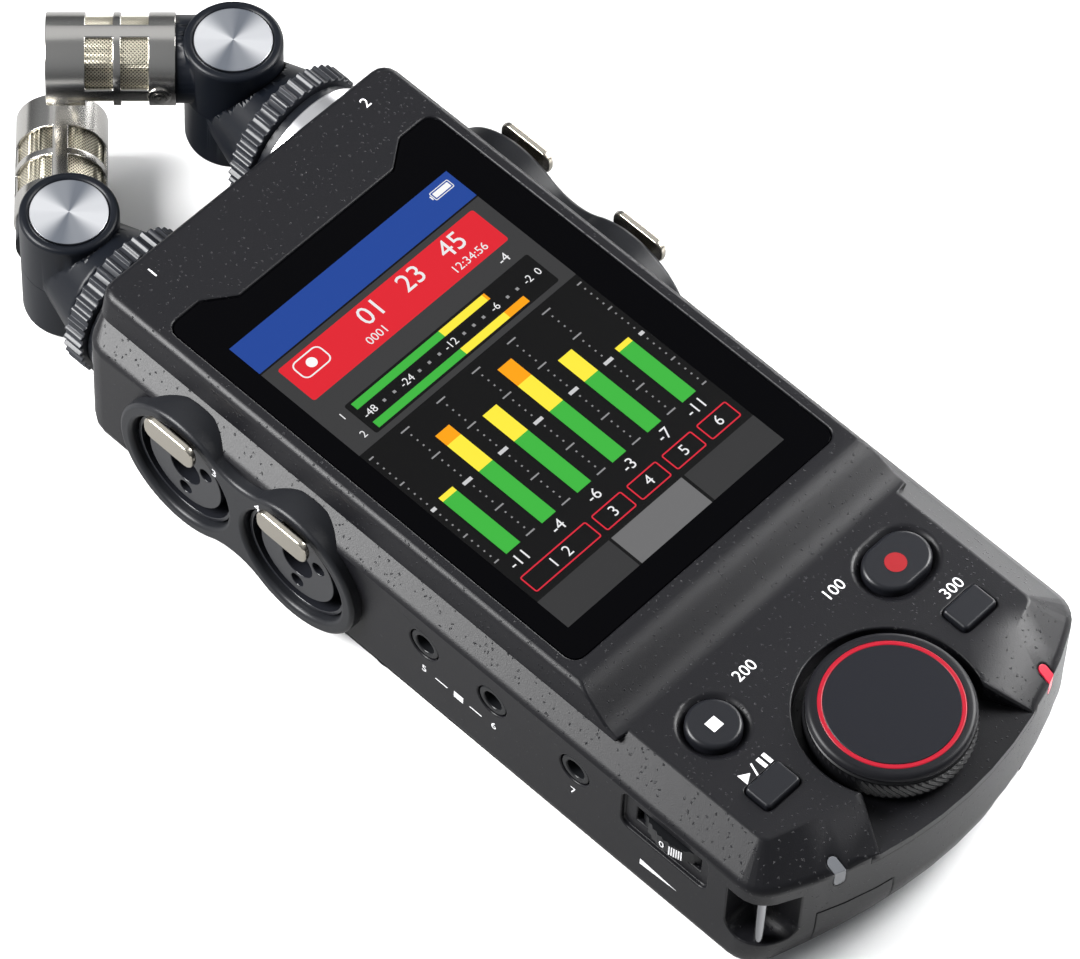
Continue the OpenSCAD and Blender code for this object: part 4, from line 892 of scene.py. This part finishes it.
# What lies inside or at the back keeps its plain made shape: boards, cells, contacts, switches,
# sockets, screws, speaker and the tripod bush.
board_green = plain_finish("board_green", srgb(26, 74, 48), 0.4)
tin = plain_finish("tinned_metal", srgb(190, 191, 192), 0.35, 1.0)
display_grey = plain_finish("display_module_grey", srgb(30, 38, 48), 0.4)
cell_wrap = plain_finish("cell_wrap", srgb(74, 88, 104), 0.35)
black_metal = plain_finish("blackened_screw", srgb(30, 30, 32), 0.35, 0.8)
inside = (
    (board_green, "board", ("main_board", "input_board")),
    (display_grey, "display", ("lcd_module",)),
    (tin, "alloy", ("tripod_bush", "volume_pot", "dial_shaft", "dial_encoder", "tact_switches",
                    "card_socket", "usb_port", "hinge_pins", "battery_contacts")),
    (black_nylon, "dark_plastic", ("battery_holder", "speaker", "power_switch", "left_mic_element",
                                   "right_mic_element")),
    (black_metal, "alloy", ("case_screws",)),
    (cell_wrap, "cell_wrap", ("batteries",)),
)
for finish_kind, slot_name, names in inside:
    for node in names:
        wear(frame["nodes"][node], finish_kind)

# White and red print: plain numerals at the inputs and simple signs at the keys, laid on as a thin
# film of ink, and painted highlights along the ridges of the wheel in the same white ink. Those on the
# buttons and on the wheel move with them.
white_ink_for_print_and_highlights = plain_finish("white_print_and_painted_highlight", srgb(226, 226, 228), 0.5)
print_red = plain_finish("red_print", srgb(126, 12, 20), 0.45)
plate_level, panel_level, key_level = 33.4, 29.1, 30.0
wall_face, field_face, wheel_face = 36.7, 38.9, 37.3
ink_film = 0.02


def on_top(level):
    def place(across, along):
        return Matrix.Translation(Vector((across, along, level + ink_film)) * mm)
    return place


def on_left_wall(outward):
    def place(across, along):
        turn = Matrix(((0, 0, -1), (-1, 0, 0), (0, 1, 0))).to_4x4()
        return Matrix.Translation(Vector((-outward - ink_film, -across, along)) * mm) @ turn
    return place


def on_wheel(across, along):
    turn = math.radians(14.8)
    outward = Vector((-math.cos(turn), -math.sin(turn), 0))
    tangent = Vector((math.sin(turn), -math.cos(turn), 0))
    wheel_axis, wheel_radius = Vector((-28.3, -68.3, 0)), 9.04
    middle = wheel_axis + outward * wheel_radius
    facing = Matrix((tangent, (0, 0, 1), outward)).transposed().to_4x4()
    return Matrix.Translation(middle * mm) @ facing


def flat_shapes(name, shapes, place_on, body="recorder"):
    """Flat shapes laid on as a film of ink, for print and painted highlights: (corners, across, along,
    half length, half height, lean) on one surface.
    """
    ink = bpy.data.objects.new(name, bpy.data.meshes.new(name))
    bpy.context.scene.collection.objects.link(ink)
    select_only(ink)
    bpy.ops.object.mode_set(mode="EDIT")
    bpy.ops.mesh.select_mode(type="VERT")
    for corners, across, along, half_length, half_height, lean in shapes:
        middle = Vector((across, along, 0)) * mm
        reach = math.sqrt(2) if corners == 4 else 1.0
        squared = math.radians(45 if corners == 4 else 90)
        bpy.ops.mesh.primitive_circle_add(vertices=corners, radius=reach * mm, fill_type="NGON",
                                          location=middle)
        bpy.ops.transform.rotate(value=squared, orient_axis="Z", center_override=middle)
        bpy.ops.transform.resize(value=(half_length, half_height, 1), center_override=middle)
        bpy.ops.transform.rotate(value=math.radians(lean), orient_axis="Z", center_override=middle)
    bpy.ops.mesh.select_all(action="SELECT")
    bpy.ops.mesh.extrude_region_move(TRANSFORM_OT_translate={"value": (0, 0, ink_film * mm)})
    bpy.ops.mesh.select_all(action="SELECT")
    bpy.ops.mesh.normals_make_consistent(inside=False)
    bpy.ops.object.mode_set(mode="OBJECT")
    ink.matrix_world = place_on(0, 0)
    bpy.ops.object.transform_apply(location=True, rotation=True, scale=True)
    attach(ink, body)
    return ink


prints_and_painted_highlights = (
    flat_figures("plate_numerals", [("1", -23.97, 55.5, 2.0), ("2", 23.73, 55.2, 2.0)],
                 on_top(plate_level)),
    flat_figures("field_numerals", [("3", -26.94, 22.3, 1.8), ("4", -17.43, 22.7, 1.8)],
                 on_left_wall(field_face)),
    flat_figures("wall_numerals", [("5", 17.25, 11.9, 1.7), ("6", 32.25, 12.0, 1.7),
                                   ("7", 49.2, 12.4, 1.7)], on_left_wall(wall_face)),
    flat_shapes("wall_lines", [(4, 21.0, 11.9, 1.3, 0.13, 0), (4, 28.4, 11.9, 1.3, 0.13, 0),
                               (4, 24.7, 11.9, 1.0, 0.75, 0)], on_left_wall(wall_face)),
    flat_shapes("volume_wedge", [(3, 66.2, 8.4, 5.1, 0.85, 0)], on_left_wall(wall_face)),
    flat_figures("wheel_numeral", [("0", 68.0, 19.2, 1.6)], on_left_wall(wheel_face), "volume_wheel"),
    # painted highlights: light stripes along the ridges of the thumb wheel
    flat_shapes("wheel_ridge_painted_highlights", [(4, 0.42 * k - 1.05, 19.3, 0.12, 1.2, 0) for k in range(6)],
                on_wheel, "volume_wheel"),
    flat_figures("key_numbers", [("100", 10.2, -59.5, 2.1), ("200", -10.3, -59.7, 2.1),
                                 ("300", 23.4, -72.3, 2.1)], on_top(panel_level)),
    flat_shapes("stop_sign", [(4, -21.1, -63.2, 1.05, 1.05, 0)], on_top(key_level), "stop_button"),
    flat_shapes("play_signs", [(3, -24.4, -72.7, 1.2, 1.25, 0), (4, -22.3, -72.7, 0.15, 1.15, 20),
                               (4, -20.6, -72.7, 0.35, 1.0, 0), (4, -19.4, -72.7, 0.35, 1.0, 0)],
                on_top(panel_level)),
)
for ink in prints_and_painted_highlights:
    wear(ink, white_ink_for_print_and_highlights)
record_dot = flat_shapes("record_dot", [(40, 20.3, -63.2, 1.8, 1.8, 0)], on_top(key_level),
                         "record_button")
wear(record_dot, print_red)
